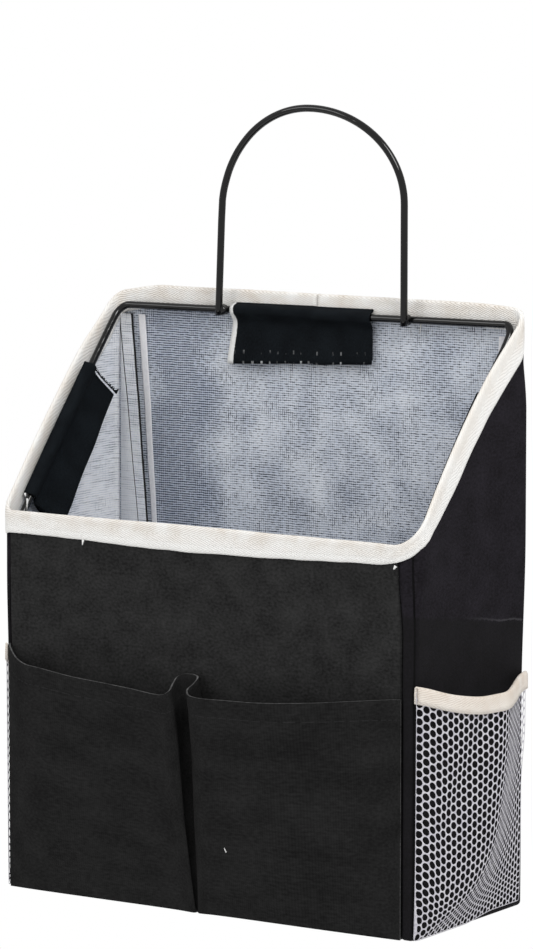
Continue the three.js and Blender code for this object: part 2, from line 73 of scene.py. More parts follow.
camera_data = bpy.data.cameras.new("camera")
camera_data.sensor_width = SENSOR
camera_data.lens = SENSOR * FOCAL_PIXELS / LONG_SIDE_PIXELS
camera = link("camera", camera_data)
aim(camera, CAMERA_TURN, CAMERA_RISE, CAMERA_DISTANCE)
bpy.context.scene.camera = camera
bpy.context.scene.view_settings.view_transform = "Standard"

# ------------------------------
# The bag wall: four canvas cloths sewn at the corners, black outside and
# coated pale grey inside. The side cloths turn round onto the front, and the
# wire loop pushes the sides of the rim a few millimetres outwards.
BAG_WIDTH = 210.0
BAG_DEPTH = 90.0
FRONT_HEIGHT = 166.0
BACK_HEIGHT = 259.0
CLOTH_THICKNESS = 1.0
FOOT_RADIUS = 3.0
HEM_RADIUS = 2.0
RIM_RADII = (4.0, 12.0, 7.0, 6.0)
RIM_SLOPE = (BACK_HEIGHT - FRONT_HEIGHT) / BAG_DEPTH
# How far the rim dips at its back corners, how far along the back, and where along the sides.
BACK_CORNER_DIP = {"left": 3.4, "right": 1.2}
DIP_WIDTH = 26.0
DIP_START = -30.0
DIP_LENGTH = 25.0
ROUNDING_START = 40.0
ROUNDING_LENGTH = 30.0
# How far the cloth stands out at the rim, from the front corner to the back one.
RIM_FLARE = {
    "left": [(0, 0.9), (0.3, 2.2), (0.7, 3.2), (1, 3.4)],
    "right": [(0, 0.4), (0.7, 0.4), (1, 1.7)],
}
FLARE_START = 92.0
FLARE_LENGTH = 70.0
RIM_LEAN = {"left": 1.4, "right": 3.0}
LEAN_START = 80.0
# How deep the cloths sink into their seams, how wide that groove is, and how far they turn round a corner.
SEAM_TUCK = {"front": 1.5, "back": 0.25}
SEAM_GROOVE = 0.8
SEAM_TURN = 1.5
CORNER_CREASE = 1.1
CREASE_TOP = 150.0
SWELL = 0.5
SWELL_SIZE = 34.0
# How near its seams, its foot and the rim a cloth lies calm, and how far below the rim a seam starts to sink.
CALM_SEAM = 12.0
CALM_FOOT = 15.0
CALM_RIM = 8.0
TUCK_START = 2.5
TUCK_LENGTH = 3.5
FRONT_LEFT, FRONT_RIGHT, BACK_RIGHT, BACK_LEFT = 0.0, 210.0, 300.0, 510.0
CORNERS = (FRONT_LEFT, FRONT_RIGHT, BACK_RIGHT, BACK_LEFT)
ROUND = 600.0
# How far the right side's cloth turns round onto the front.
WRAP = 6.5
FOOT_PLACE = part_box("back_panel")[0][2]
BACK_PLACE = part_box("back_panel")[1][1]


def at(x, y, z):
    """A place in the row's metres, from millimetres across, behind the back face and above the foot."""
    return Vector((x * MM, y * MM + BACK_PLACE, z * MM + FOOT_PLACE))


def mix(a, b, share):
    return a + (b - a) * share


def clamp(value, low=0.0, high=1.0):
    return max(low, min(high, value))


def smooth(share):
    share = clamp(share)
    return share * share * (3 - 2 * share)


def read_off(table, value):
    """A value from a short table of pairs, straight between them."""
    for (a, b), (c, d) in zip(table, table[1:]):
        if value <= c:
            return mix(b, d, clamp((value - a) / (c - a)))
    return table[-1][1]


def ripple(place, size, seed=0.0):
    """Soft unevenness of a cloth, from -1 to 1, with folds about as long as the size."""
    return noise.noise(Vector(place) / size + Vector((seed, 3.1 * seed, 7.7)))


def plan(station, radii):
    """A point of the bag seen from above, at a distance walked round it from the front left corner."""
    station %= ROUND
    side = max(i for i in range(4) if CORNERS[i] <= station)
    start = CORNERS[side]
    length = (CORNERS[side + 1] if side < 3 else ROUND) - start
    near, far = radii[side], radii[(side + 1) % 4]
    near_arc, far_arc = near * pi / 4, far * pi / 4
    walked = station - start
    if walked < near_arc:
        angle = pi / 4 * (1 + walked / near_arc)
        along, out = near - near * cos(angle), near * sin(angle) - near
        turn = angle - pi / 2
    elif walked > length - far_arc:
        angle = pi / 4 * (1 + (length - walked) / far_arc)
        along, out = length - far + far * cos(angle), far * sin(angle) - far
        turn = pi / 2 - angle
    else:
        share = (walked - near_arc) / (length - near_arc - far_arc)
        along, out, turn = mix(near, length - far, share), 0.0, 0.0
    heading = side * pi / 2
    half = BAG_WIDTH / 2
    origin = ((-half, -BAG_DEPTH), (half, -BAG_DEPTH), (half, 0.0), (-half, 0.0))[side]
    ahead = Vector((cos(heading), sin(heading)))
    outward = Vector((sin(heading), -cos(heading)))
    place = Vector(origin) + along * ahead + out * outward
    normal = cos(turn) * outward + sin(turn) * ahead
    return place, normal


def rim_height(station):
    place, _ = plan(station, RIM_RADII)
    corner = 1 - smooth((BAG_WIDTH / 2 - abs(place.x)) / DIP_WIDTH)
    dip = BACK_CORNER_DIP["left" if place.x < 0 else "right"] * corner
    dip *= smooth((place.y - DIP_START) / DIP_LENGTH)
    return BACK_HEIGHT + RIM_SLOPE * place.y - dip


def rim_lean(x, y, z):
    """How far the wire loop pushes the rim's sides to the left, most at the middle of the depth."""
    amount = RIM_LEAN["left" if x < 0 else "right"]
    top = BACK_HEIGHT + RIM_SLOPE * y
    return -amount * sin(pi * clamp(-y / BAG_DEPTH)) * smooth((z - LEAN_START) / (top - LEAN_START)) \
        * (2 * x / BAG_WIDTH) ** 2


def rim_stretch(station):
    """How much further down the wall a distance measured square to the rim reaches."""
    _, normal = plan(station, RIM_RADII)
    return hypot(1, RIM_SLOPE * normal.x)


def wall(station, height, inset=0.0):
    """A place on the bag's wall, at a height above the foot and a depth below the cloth's outer face."""
    drop = rim_height(station) - height
    rounding = smooth((ROUNDING_START - drop) / ROUNDING_LENGTH)
    radii = [mix(FOOT_RADIUS, radius, rounding) for radius in RIM_RADII]
    place, normal = plan(station, radii)
    depth_share = clamp(1 + place.y / BAG_DEPTH)
    flare = read_off(RIM_FLARE["left" if place.x < 0 else "right"], depth_share)
    flare *= smooth((height - FLARE_START) / FLARE_LENGTH) * (2 * place.x / BAG_WIDTH) ** 4
    shift = flare * (1 if place.x > 0 else -1) + rim_lean(place.x, place.y, height)
    place = place - normal * inset
    return place.x + shift, place.y, height


def stations(start, end, step, fine=(), fine_step=0.7, reach=3.5):
    """Places of the threads along which a cloth is divided, closer together where it bends."""
    places = [start]
    while places[-1] < end - 1e-6:
        close = any(abs(places[-1] - bend) < reach + step / 2 for bend in fine)
        places.append(places[-1] + (fine_step if close else step))
    places[-1] = end
    if len(places) > 2 and places[-1] - places[-2] < 0.3 * fine_step:
        places.pop(-2)
    return places


def even(start, end, count):
    return [mix(start, end, i / count) for i in range(count + 1)]


def lay_cloth(name, across, up, form, finishes, thickness=CLOTH_THICKNESS, inside=0, turn=False, side=-1,
              grain=None, rim=None):
    """A flat cloth laid over a form and given its thickness. Its threads are a UV map in metres."""
    mesh = bmesh.new()
    bmesh.ops.create_grid(mesh, x_segments=len(across) - 1, y_segments=len(up) - 1, size=0.5)
    threads = mesh.loops.layers.uv.new("threads")
    columns, rows = len(across) - 1, len(up) - 1
    spot = {}
    for vert in mesh.verts:
        spot[vert] = (across[round((vert.co.x + 0.5) * columns)], up[round((vert.co.y + 0.5) * rows)])
    for face in mesh.faces:
        for loop in face.loops:
            u, v = grain(*spot[loop.vert]) if grain else spot[loop.vert]
            loop[threads].uv = (u * MM, v * MM)
    for vert, (u, v) in spot.items():
        vert.co = at(*form(u, v))
    if turn:
        bmesh.ops.reverse_faces(mesh, faces=mesh.faces)
    return make_piece(name, mesh, finishes, thickness, inside, side, rim=rim)


def make_piece(name, mesh, finishes, thickness=0.0, inside=0, side=-1, levels=0, rim=None, flat_ends=False):
    """An object from a mesh, shaded round, with its thickness in millimetres and its materials."""
    for face in mesh.faces:
        face.smooth = not flat_ends or len(face.verts) == 4
    data = bpy.data.meshes.new(name)
    mesh.to_mesh(data)
    mesh.free()
    piece = link(name, data)
    for finish in finishes:
        data.materials.append(finish)
    if levels:
        rounder = piece.modifiers.new("rounded", "SUBSURF")
        rounder.levels = rounder.render_levels = levels
    if thickness:
        shell = piece.modifiers.new("thickness", "SOLIDIFY")
        shell.thickness = thickness * MM
        shell.offset = side
        shell.material_offset = inside
        shell.material_offset_rim = inside if rim is None else rim
        shell.use_even_offset = True
    return piece


def set_input(tree, socket, value):
    """Sets a socket to a value, or links it to the output that a value comes from."""
    value = getattr(value, "socket", value)
    if isinstance(value, bpy.types.NodeSocket):
        tree.links.new(value, socket)
    else:
        socket.default_value = value


def add(tree, kind, sockets=None, **settings):
    """A shader node with its settings and sockets."""
    made = tree.nodes.new(kind)
    for name, value in settings.items():
        setattr(made, name, value)
    for name, value in (sockets or {}).items():
        set_input(tree, made.inputs[name], value)
    return made


class Value:
    """A number or place that changes over a surface. Each sum with it becomes a node of its tree."""

    def __init__(self, tree, socket):
        self.tree, self.socket = tree, socket

    def by(self, operation, *others):
        return self.sum(operation, self, *others)

    def sum(self, operation, *terms):
        made = add(self.tree, "ShaderNodeMath", dict(enumerate(terms)), operation=operation)
        return Value(self.tree, made.outputs[0])

    def vector(self, operation, other=(0.0, 0.0, 0.0)):
        sockets = {0: self, "Scale" if operation == "SCALE" else 1: other}
        made = add(self.tree, "ShaderNodeVectorMath", sockets, operation=operation)
        return Value(self.tree, made.outputs["Value" if operation == "LENGTH" else "Vector"])

    def stretched(self, *factors):
        return self.vector("MULTIPLY", factors)

    def split(self):
        parts = add(self.tree, "ShaderNodeSeparateXYZ", {0: self})
        return [Value(self.tree, part) for part in parts.outputs]

    def noise(self, scale, detail=3.0, output=0):
        made = add(self.tree, "ShaderNodeTexNoise", {"Vector": self, "Scale": scale, "Detail": detail})
        return Value(self.tree, made.outputs[output])

    def __abs__(self):
        return self.by("ABSOLUTE")


for sign, operation in (("add", "ADD"), ("sub", "SUBTRACT"), ("mul", "MULTIPLY"), ("truediv", "DIVIDE"),
                        ("pow", "POWER")):
    setattr(Value, f"__{sign}__", lambda self, other, operation=operation: self.sum(operation, self, other))
    setattr(Value, f"__r{sign}__", lambda self, other, operation=operation: self.sum(operation, other, self))


def held(value):
    """A sum kept between 0 and 1."""
    value.socket.node.use_clamp = True
    return value


def paint(code):
    """A colour as it is written for a screen, in the linear values that a shader takes."""
    channels = [int(code[i:i + 2], 16) / 255 for i in (1, 3, 5)]
    linear = [c / 12.92 if c <= 0.04045 else ((c + 0.055) / 1.055) ** 2.4 for c in channels]
    return (*linear, 1.0)


def between(share, a, b):
    """A colour between two colours."""
    a, b = (paint(colour) if isinstance(colour, str) else colour for colour in (a, b))
    made = add(share.tree, "ShaderNodeMix", {0: share, 6: a, 7: b}, data_type="RGBA")
    return Value(share.tree, made.outputs[2])


def new_group(name, **numbers):
    """A group of nodes that takes a place and some numbers."""
    group = bpy.data.node_groups.new(name, "ShaderNodeTree")
    group.interface.new_socket("place", in_out="INPUT", socket_type="NodeSocketVector")
    for label, value in numbers.items():
        socket = group.interface.new_socket(label, in_out="INPUT", socket_type="NodeSocketFloat")
        socket.default_value = value
    given = group.nodes.new("NodeGroupInput")
    return [Value(group, given.outputs[i]) for i in range(1 + len(numbers))]


def put_out(**values):
    """Ends a group of nodes with the values that it gives."""
    group = next(iter(values.values())).tree
    for label in values:
        group.interface.new_socket(label, in_out="OUTPUT", socket_type="NodeSocketFloat")
    put = group.nodes.new("NodeGroupOutput")
    for i, value in enumerate(values.values()):
        group.links.new(value.socket, put.inputs[i])
    return group


def use(group, place, **numbers):
    made = add(place.tree, "ShaderNodeGroup", {"place": place, **numbers}, node_tree=group)
    return {output.name: Value(place.tree, output) for output in made.outputs}


# Plain weave: warp threads stand upright and weft threads lie across them, over one and under the next.
place, warp_pitch, weft_pitch, uneven = new_group(
    "plain_weave", warp_pitch=0.001, weft_pitch=0.001, uneven=0.3)
wander = place.noise(260.0, 2.0, "Color").vector("SUBTRACT", (0.5, 0.5, 0.5))
across, up, _ = wander.vector("SCALE", warp_pitch * uneven).vector("ADD", place).split()
warp_wave = (across / warp_pitch * pi).by("SINE")
weft_wave = (up / weft_pitch * pi).by("SINE")
over = held(warp_wave * weft_wave * 2.5 + 0.5)
warp, weft = abs(warp_wave), abs(weft_wave)
weave = put_out(height=warp * over + weft * (1 - over), warp=warp, weft=weft)

# Blotches, streaks along the threads and tiny specks of lint, which every cloth on the bag has.
LINT_SPACING = 1 / 75
LINT_RADIUS = 0.035
LINT_SHARE = 0.07
place, blotch_size, streak_size = new_group("cloth_wear", blotch_size=0.02, streak_size=0.002)
cells = add(place.tree, "ShaderNodeTexVoronoi", {"Vector": place, "Scale": 1 / LINT_SPACING})
chosen = add(place.tree, "ShaderNodeSeparateColor", {0: cells.outputs["Color"]})
speck = Value(place.tree, cells.outputs["Distance"]).by("LESS_THAN", LINT_RADIUS)
wear = put_out(blotch=place.noise(1 / blotch_size, 4.0),
               streak=place.stretched(1.0, 0.06, 1.0).noise(1 / streak_size),
               lint=speck * Value(place.tree, chosen.outputs[0]).by("GREATER_THAN", 1 - LINT_SHARE))

# A row of machine stitches along a cloth, at a distance from its lower edge.
STITCH_EDGE = 9000.0
place, row, step, length, width = new_group("stitch_row", row=0.002, step=0.003, length=0.002, width=0.0004)
across, up, _ = place.split()
in_stitch = held((length * 0.5 - across.by("PINGPONG", step * 0.5)) * STITCH_EDGE + 0.5)
in_row = held((width * 0.5 - abs(up - row)) * STITCH_EDGE + 0.5)
stitches = put_out(mask=in_stitch * in_row)


def new_finish(name, by_threads=True):
    """A material, and the places on it by the piece's thread map or else by the piece's own axes."""
    finish = bpy.data.materials.new(name)
    finish.use_nodes = True
    tree = finish.node_tree
    if by_threads:
        return finish, Value(tree, add(tree, "ShaderNodeUVMap", uv_map="threads").outputs[0])
    return finish, Value(tree, add(tree, "ShaderNodeTexCoord").outputs["Object"])


def dress(finish, colour, roughness, specular, height=None, depth=0.0):
    """Gives a material its colour and shine, and the relief of its threads in metres."""
    tree = finish.node_tree
    shader = tree.nodes["Principled BSDF"]
    for name, value in (("Base Color", colour), ("Roughness", roughness), ("Specular IOR Level", specular)):
        set_input(tree, shader.inputs[name], value)
    if height:
        bump = add(tree, "ShaderNodeBump", {"Height": height, "Distance": depth, "Strength": 1.0})
        set_input(tree, shader.inputs["Normal"], bump.outputs[0])
    return finish


CANVAS_PITCH = 0.00055
CANVAS_RELIEF = 0.00008
LINT_COLOUR = "#a8a8a8"


def woven_finish(name, dark, light, hem_row=None, fold_at=None, crease=None):
    """Black canvas: uneven yarn, blotches and lint, and on some cloths a hem, a painted shade line along a
    fold, or an old crease with painted shade below it and a painted highlight along it.
    """
    finish, threads = new_finish(name)
    cloth = use(weave, threads, warp_pitch=CANVAS_PITCH, weft_pitch=CANVAS_PITCH, uneven=0.5)
    marks = use(wear, threads, blotch_size=0.013)
    slub = threads.stretched(0.75, 1.0, 1.0).noise(900.0)
    shade = cloth["height"] * 0.3 + slub * 1.1 + marks["blotch"] * 0.9 + marks["streak"] * 0.1
    colour = between(held(shade - 0.9), dark, light)
    colour = between(marks["lint"], colour, LINT_COLOUR)
    height = cloth["height"]
    if hem_row:
        sewn = use(stitches, threads, row=hem_row)["mask"]
        colour = between(sewn * 0.2, colour, "#4a4a4b")
        height = height + sewn
    # A painted shade line: the cloth is darkened along the fold at the corner, where shade falls in the
    # crease.
    if fold_at:
        across = threads.split()[0]
        fold = (slub * 0.0006 + across).by("COMPARE", fold_at + 0.0003, 0.0005)
        colour = between(fold * 0.8, colour, "#050505")
    # Painted shade: the cloth below a slanting crease line is darker. A painted highlight runs along the
    # crease on its back half.
    if crease:
        front_height, fall = crease
        across, up, _ = threads.split()
        from_middle = (across - BAG_WIDTH / 2 * MM).by("PINGPONG", ROUND / 2 * MM)
        back = from_middle - BAG_WIDTH / 2 * MM
        above = (marks["blotch"] - 0.5) * 0.003 + (back * fall + up - front_height)
        colour = between(held(above * -500.0 + 0.5) * 0.6, colour, "#161616")
        crease_highlight = (slub * 0.0016 + above).by("COMPARE", 0.0013, 0.0004) * held(back * 30.0 - 1.2)
        colour = between(crease_highlight * 0.18, colour, "#77757a")
    return dress(finish, colour, roughness=0.95, specular=0.12, height=height, depth=CANVAS_RELIEF)


black_canvas = woven_finish("black_canvas", "#191919", "#3f3f3f")
# The side cloths carry the painted shade line at the front corner's fold, and the crease's painted shade and
# painted highlight.
side_canvas = woven_finish("side_canvas", "#131114", "#2e2b32", fold_at=FRONT_RIGHT * MM,
                           crease=(0.137, 0.144))

LINING_WARP = 0.0011
LINING_WEFT = 0.00105
LINING_RELIEF = 0.00012


def coated_finish(name, ground, light, dark, openness, raw_edge=None, shaded=None, drawn_out=0.6):
    """The coated face inside: pale cross threads with dark dashes between them where the weave is open."""
    finish, threads = new_finish(name)
    cloth = use(weave, threads, warp_pitch=LINING_WARP, weft_pitch=LINING_WEFT, uneven=0.55)
    marks = use(wear, threads, blotch_size=0.022, streak_size=0.010)
    warp, weft = cloth["warp"], cloth["weft"]
    blotch_and_shadow = held(marks["blotch"] * 1.9 - 0.58)
    # A painted shadow: where a shaded band is given, the lining is darker across that band, on top of its
    # random blotches.
    if shaded:
        middle, reach = shaded
        near = held(1 - abs(threads.split()[0] - middle) / reach)
        blotch_and_shadow = held(blotch_and_shadow + near * 0.9)
    dashes = held(threads.stretched(drawn_out, 1.0, 1.0).noise(850.0) * 4.4 + (blotch_and_shadow - 2.3))
    dashes = (1 - weft ** 0.7) * (warp * -0.75 + 1.2) * dashes
    slits = held(threads.stretched(1.0, 0.45, 1.0).noise(800.0) * 4.4 - 1.9) * (1 - warp ** 0.6)
    patches = held(threads.noise(70.0, 2.0) * 4.0 - 1.8)
    pits = dashes.by("MAXIMUM", slits * patches * 0.8)
    shade = held((warp * 0.2 + weft * 0.8) * 0.75 + marks["streak"] * 0.35)
    shade = held(shade - blotch_and_shadow * 0.5)
    colour = between(shade, ground, light)
    colour = between(held(pits * openness), colour, dark)
    # Along a raw edge: the part between the corner and the crease is lightened, which is painted light. A
    # thin painted shade line marks the crease, and past the raw edge the cloth shows its real black face.
    if raw_edge:
        wander = marks["blotch"] * 0.0004 + threads.split()[0]
        crease_shade = wander.by("COMPARE", 0.0005, 0.0003)
        colour = between(wander.by("LESS_THAN", 0.0005) * 0.4, colour, "#ffffff")
        colour = between(wander.by("GREATER_THAN", raw_edge).by("MAXIMUM", crease_shade), colour, "#0a0a0c")
    return dress(finish, colour, roughness=0.75, specular=0.2, height=shade - pits, depth=LINING_RELIEF)


LINING_COLOURS = ("#a4afc4", "#f8fbff", "#222a3a")
# The left inner wall's lining is a brighter copy of the same coated cloth: painted light for the light that
# falls on that wall.
LIT_SIDE_LINING_COLOURS = ("#eaeff9", "#ffffff", "#6a7283")
pale_lining = coated_finish("pale_lining", *LINING_COLOURS, 2.5)
# The back's lining has a painted shadow band across its left part.
back_lining = coated_finish("back_lining", *LINING_COLOURS, 2.5, shaded=(0.478, 0.026))
lit_side_lining = coated_finish("lit_side_lining", *LIT_SIDE_LINING_COLOURS, 1.3, drawn_out=0.12)


def fit(piece, body, node=None):
    """Lets a piece ride a body, in place of the solid that it stands for."""
    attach(piece, body)
    if node:
        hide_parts(node)


HEM_ROUND = [0.0, 0.25, 0.6, 1.0, 1.5, 2.0, 3.0]
WALL_ROWS = 46


def seam_depth(station, seam):
    tuck = SEAM_TUCK["front" if seam % ROUND < BACK_RIGHT else "back"]
    return tuck * exp(-((station - seam) / SEAM_GROOVE) ** 2)


def wall_form(edges, seed):
    """A cloth of the wall. It turns under at the foot, sinks into its seams and is a little uneven."""
    def form(station, level):
        height = level * rim_height(station)
        seam = min(edges, key=lambda place: abs(station - place))
        drop = rim_height(station) - height
        under = HEM_RADIUS - height
        inset = HEM_RADIUS - sqrt(max(HEM_RADIUS ** 2 - under ** 2, 0)) if under > 0 else 0.0
        calm = smooth(abs(station - seam) / CALM_SEAM) * smooth(height / CALM_FOOT)
        calm *= smooth((drop - CALM_RIM) / CALM_SEAM)
        uneven = SWELL * calm * ripple((station * 1.6, height * 0.6, 0), SWELL_SIZE, seed)
        crease = CORNER_CREASE * exp(-((station - FRONT_RIGHT) / SEAM_GROOVE) ** 2)
        crease *= smooth((CREASE_TOP - height) / 12)
        tucked = seam_depth(station, seam) * smooth((drop - TUCK_START) / TUCK_LENGTH)
        return wall(station, height, inset + tucked + crease - uneven)
    return form


def wall_levels(height):
    low = [place / height for place in HEM_ROUND]
    return low + [mix(low[-1], 1.0, (row + 1) / WALL_ROWS) for row in range(WALL_ROWS)]


def sew_wall(name, node, start, end, height, finish, lining, seed, bends=()):
    across = stations(start, end, 3.0, fine=(*bends, start, end), fine_step=0.5)
    piece = lay_cloth(name, across, wall_levels(height), wall_form((start, end), seed), [finish, lining],
                      inside=1, grain=lambda station, level: (station, level * rim_height(station)))
    fit(piece, "bag", node)
    return piece


def cloth_area(start, end):
    steps = 60
    return sum(rim_height(mix(start, end, (i + 0.5) / steps)) for i in range(steps)) / steps * (end - start)


def declare(width, on, area=None):
    width * MM
    None if area is None else area * MM * MM


front_cloth = sew_wall("front_cloth", "front_panel", SEAM_TURN, FRONT_RIGHT - WRAP, FRONT_HEIGHT,
                       black_canvas, pale_lining, 1.0)
declare(FRONT_RIGHT - WRAP, ["rim_tape"])
right_cloth = sew_wall("right_cloth", "side_panel_right", FRONT_RIGHT - WRAP, BACK_RIGHT + SEAM_TURN,
                       BACK_HEIGHT, side_canvas, pale_lining, 2.0, bends=(FRONT_RIGHT, BACK_RIGHT))
declare(BAG_DEPTH + WRAP, ["rim_tape"],
        cloth_area(FRONT_RIGHT - WRAP, BACK_RIGHT))
back_cloth = sew_wall("back_cloth", "back_panel", BACK_RIGHT + SEAM_TURN, BACK_LEFT - SEAM_TURN, BACK_HEIGHT,
                      black_canvas, back_lining, 3.0)
declare(BAG_WIDTH, ["rim_tape"])
left_cloth = sew_wall("left_cloth", "side_panel_left", BACK_LEFT - SEAM_TURN, ROUND + SEAM_TURN, BACK_HEIGHT,
                      side_canvas, lit_side_lining, 4.0, bends=(BACK_LEFT, ROUND))
declare(BAG_DEPTH, ["rim_tape"], cloth_area(BACK_LEFT, ROUND))

# ------------------------------
# The bottom: a flat cloth of the same coated canvas, sewn along its edges to
# the four walls' feet. It hangs a little slack.
BOTTOM_INSET = 1.2
BOTTOM_LIFT = 0.7
BOTTOM_SAG = 0.6
BOTTOM_SWELL = 0.15


def bottom_form(x, y):
    slack = sin(pi * (x / BAG_WIDTH + 0.5)) * sin(-pi * y / BAG_DEPTH)
    swell = BOTTOM_SWELL * ripple((x, y, 0), 20, 5.0)
    return x, y, CLOTH_THICKNESS + BOTTOM_LIFT - BOTTOM_SAG * slack + swell


half_bottom = BAG_WIDTH / 2 - BOTTOM_INSET
bottom_cloth = lay_cloth("bottom_cloth", stations(-half_bottom, half_bottom, 5.0),
                         stations(-BAG_DEPTH + BOTTOM_INSET, -BOTTOM_INSET, 4.0), bottom_form,
                         [pale_lining, black_canvas], inside=1)
fit(bottom_cloth, "bag", "bottom_panel")
declare(BAG_WIDTH, ["front_cloth", "back_cloth"])

# ------------------------------
# The rim binding: off-white herringbone tape folded over the raw edges and
# sewn through. It is one strip whose ends meet at the back.
TAPE_THICKNESS = 0.6
TAPE_DROP = 10.2
# Where the tape's two ends meet, and the gap between them.
TAPE_START = 405.0
TAPE_GAP = 0.3
# How loose the tape is and how long its folds are, along its runs and where it is gathered at the corner.
TAPE_LOOSE = (0.3, 0.8)
FOLD_SIZE = (9.0, 5.0)
GATHER_REACH = 11.0
# How much its sewn edge wanders, as a share of its drop, and its fold, in millimetres.
EDGE_WANDER = 0.05
TAPE_WANDER = 0.25
# How much narrower the fold is than its full drop, by the distance walked round the rim.
TAPE_NARROWING = [(0, 1.6), (29, 1.9), (50, 0.9), (76, 0.1), (102, 0.1), (128, 0.9), (154, 1.3), (180, 2.5),
                  (196, 2.8), (206, 4.2), (213, 5.0), (226, 2.6), (242, 0.2), (296, 0.2), (306, 1.6),
                  (504, 1.6), (514, 0.2), (560, 0.2), (600, 1.6)]
# Across the folded tape: depth below the cloth's outer face, and drop below the rim.
TAPE_FOLD = [
    (-0.15, 10.2), (-0.32, 9.6), (-0.4, 8.0), (-0.4, 5.5), (-0.4, 3.0), (-0.38, 1.2), (-0.3, 0.2),
    (-0.05, -0.7), (0.5, -1.0), (1.1, -0.7), (1.35, 0.2), (1.4, 1.2), (1.42, 3.0), (1.42, 5.5), (1.42, 8.0),
    (1.36, 9.6), (1.15, 10.2),
]


TWILL_BAND = 0.0055
TWILL_PITCH = 0.001
TWILL_SLOPE = 0.42
TWILL_RELIEF = 0.00014


def herringbone_finish(name, ground, fold_shade_colour, groove, fold_at, plain_reach, smooth_runs=()):
    """Twill lines at a low angle in bands, with patchy beige painted shade near the fold, where the lines
    show most, and plain at the sewn edges.
    """
    finish, threads = new_finish(name)
    across, up, _ = threads.split()
    marks = use(wear, threads, blotch_size=0.011, streak_size=0.004)
    slope = threads.noise(260.0) * 0.0012 + (across * TWILL_SLOPE + (up - fold_at).by("PINGPONG", TWILL_BAND))
    line = abs((slope * (pi / TWILL_PITCH)).by("SINE"))
    # Painted shade: near the fold the tape is tinted beige in patches, and its twill lines show more strongly
    # there.
    near_fold = held(1 - abs(up - fold_at) / plain_reach) ** 0.6
    fold_shade = held(marks["blotch"] * 2.6 - 0.9) * near_fold
    colour = between(fold_shade, ground, fold_shade_colour)
    lines = (1 - line) ** 1.6 * held(marks["blotch"] * 2.0 - 0.45) * (near_fold + 0.12)
    for middle, half in smooth_runs:
        off = held((abs(across - middle) - half) * 100.0 + 0.7)
        lines = lines * (off * 0.75 + 0.25)
    colour = between(held(lines * 0.8), colour, groove)
    sewn = use(stitches, threads, row=fold_at - plain_reach + 0.0005, length=0.0019)["mask"]
    return dress(finish, colour, roughness=0.9, specular=0.12, height=line - sewn * 0.6, depth=TWILL_RELIEF)


rim_twill = herringbone_finish("rim_twill", "#fefdfa", "#f1e8dd", "#a3947f", 0.0125, 0.0095,
                               ((0.255, 0.045), (-0.045, 0.045)))


def tape_form(station, fold):
    share = clamp(fold / (len(TAPE_FOLD) - 1)) * (len(TAPE_FOLD) - 1)
    index = min(int(share), len(TAPE_FOLD) - 2)
    inset = mix(TAPE_FOLD[index][0], TAPE_FOLD[index + 1][0], share - index)
    drop = mix(TAPE_FOLD[index][1], TAPE_FOLD[index + 1][1], share - index)
    gathered = exp(-((station % ROUND - FRONT_RIGHT) / GATHER_REACH) ** 2)
    loose = mix(*TAPE_LOOSE, gathered) * ripple((station, drop * 2, 0), mix(*FOLD_SIZE, gathered), 2.0)
    loose *= smooth(drop / 6)
    narrowing = read_off(TAPE_NARROWING, station % ROUND) / TAPE_DROP
    drop *= 1 + EDGE_WANDER * ripple((station, 0, 0), 14, 8.0) - narrowing
    height = rim_height(station) - drop * rim_stretch(station)
    height += TAPE_WANDER * ripple((station, 0, 0), 25, 4.0)
    return wall(station, height, inset + (-abs(loose) if inset < CLOTH_THICKNESS / 2 else abs(loose)))


def lengths_along(fold):
    """The distance along a folded tape's section to each of its points."""
    lengths = [0.0]
    for (a, b), (c, d) in zip(fold, fold[1:]):
        lengths.append(lengths[-1] + hypot(c - a, d - b))
    return lengths


tape_lengths = lengths_along(TAPE_FOLD)
rim_tape = lay_cloth(
    "rim_tape",
    stations(TAPE_START - ROUND, TAPE_START - TAPE_GAP, 2.2,
             fine=(BACK_LEFT - ROUND, FRONT_LEFT, FRONT_RIGHT, BACK_RIGHT), fine_step=0.8, reach=9.0),
    list(range(len(TAPE_FOLD))), tape_form, [rim_twill], thickness=TAPE_THICKNESS, side=0,
    grain=lambda station, fold: (station, tape_lengths[round(fold)]))
fit(rim_tape, "bag", "rim_binding")
declare(ROUND,
        ["front_cloth", "right_cloth", "back_cloth", "left_cloth"])

# ------------------------------
# The wires: a closed loop that holds the rim open and an arch welded to it,
# both of steel wire with a gloss black coat.
WIRE_RADIUS = 1.6
WIRE_INSET = 3.95
LOOP_BACK_HEIGHT = 252.0
LOOP_FRONT_HEIGHT = 160.0
LOOP_SLOPE = (LOOP_BACK_HEIGHT - LOOP_FRONT_HEIGHT) / (BAG_DEPTH - 2 * WIRE_INSET)
LOOP_RADII = (5.5, 12.0, 8.0, 8.5)
ARCH_HALF_WIDTH = 48.4
ARCH_LEG = 49.5
ARCH_RISE = 40.0
ARCH_PLACE = -7.75
LEG_OVERHANG = 3.0
LEG_STEP = 3.0
ARCH_STEPS = 64
# How the loop is bent: its right side spreads and sags, its back drops, tilts and spreads on the left.
RIGHT_SPREAD = 0.7
RIGHT_SAG = 1.9
BACK_DROP = 0.45
BACK_TILT = 0.9
BACK_LEFT_SPREAD = 2.0
# How far the arch's left half is bent in, by height, at its full width.
ARCH_BEND = [(252, 0.9), (278, 1.9), (291, 2.4), (300, 2.9), (309, 4.2), (318, 5.0), (326, 5.6), (342, 6.2)]

gloss_coat, place = new_finish("gloss_coat", by_threads=False)
dust, dip = place.noise(700.0), place.noise(90.0, 2.0)
dress(gloss_coat, between(held(dust * 3.0 - 1.6), "#030303", "#0c0c0d"),
      roughness=dip * 0.14 + 0.05, specular=0.5, height=dip, depth=0.0004)


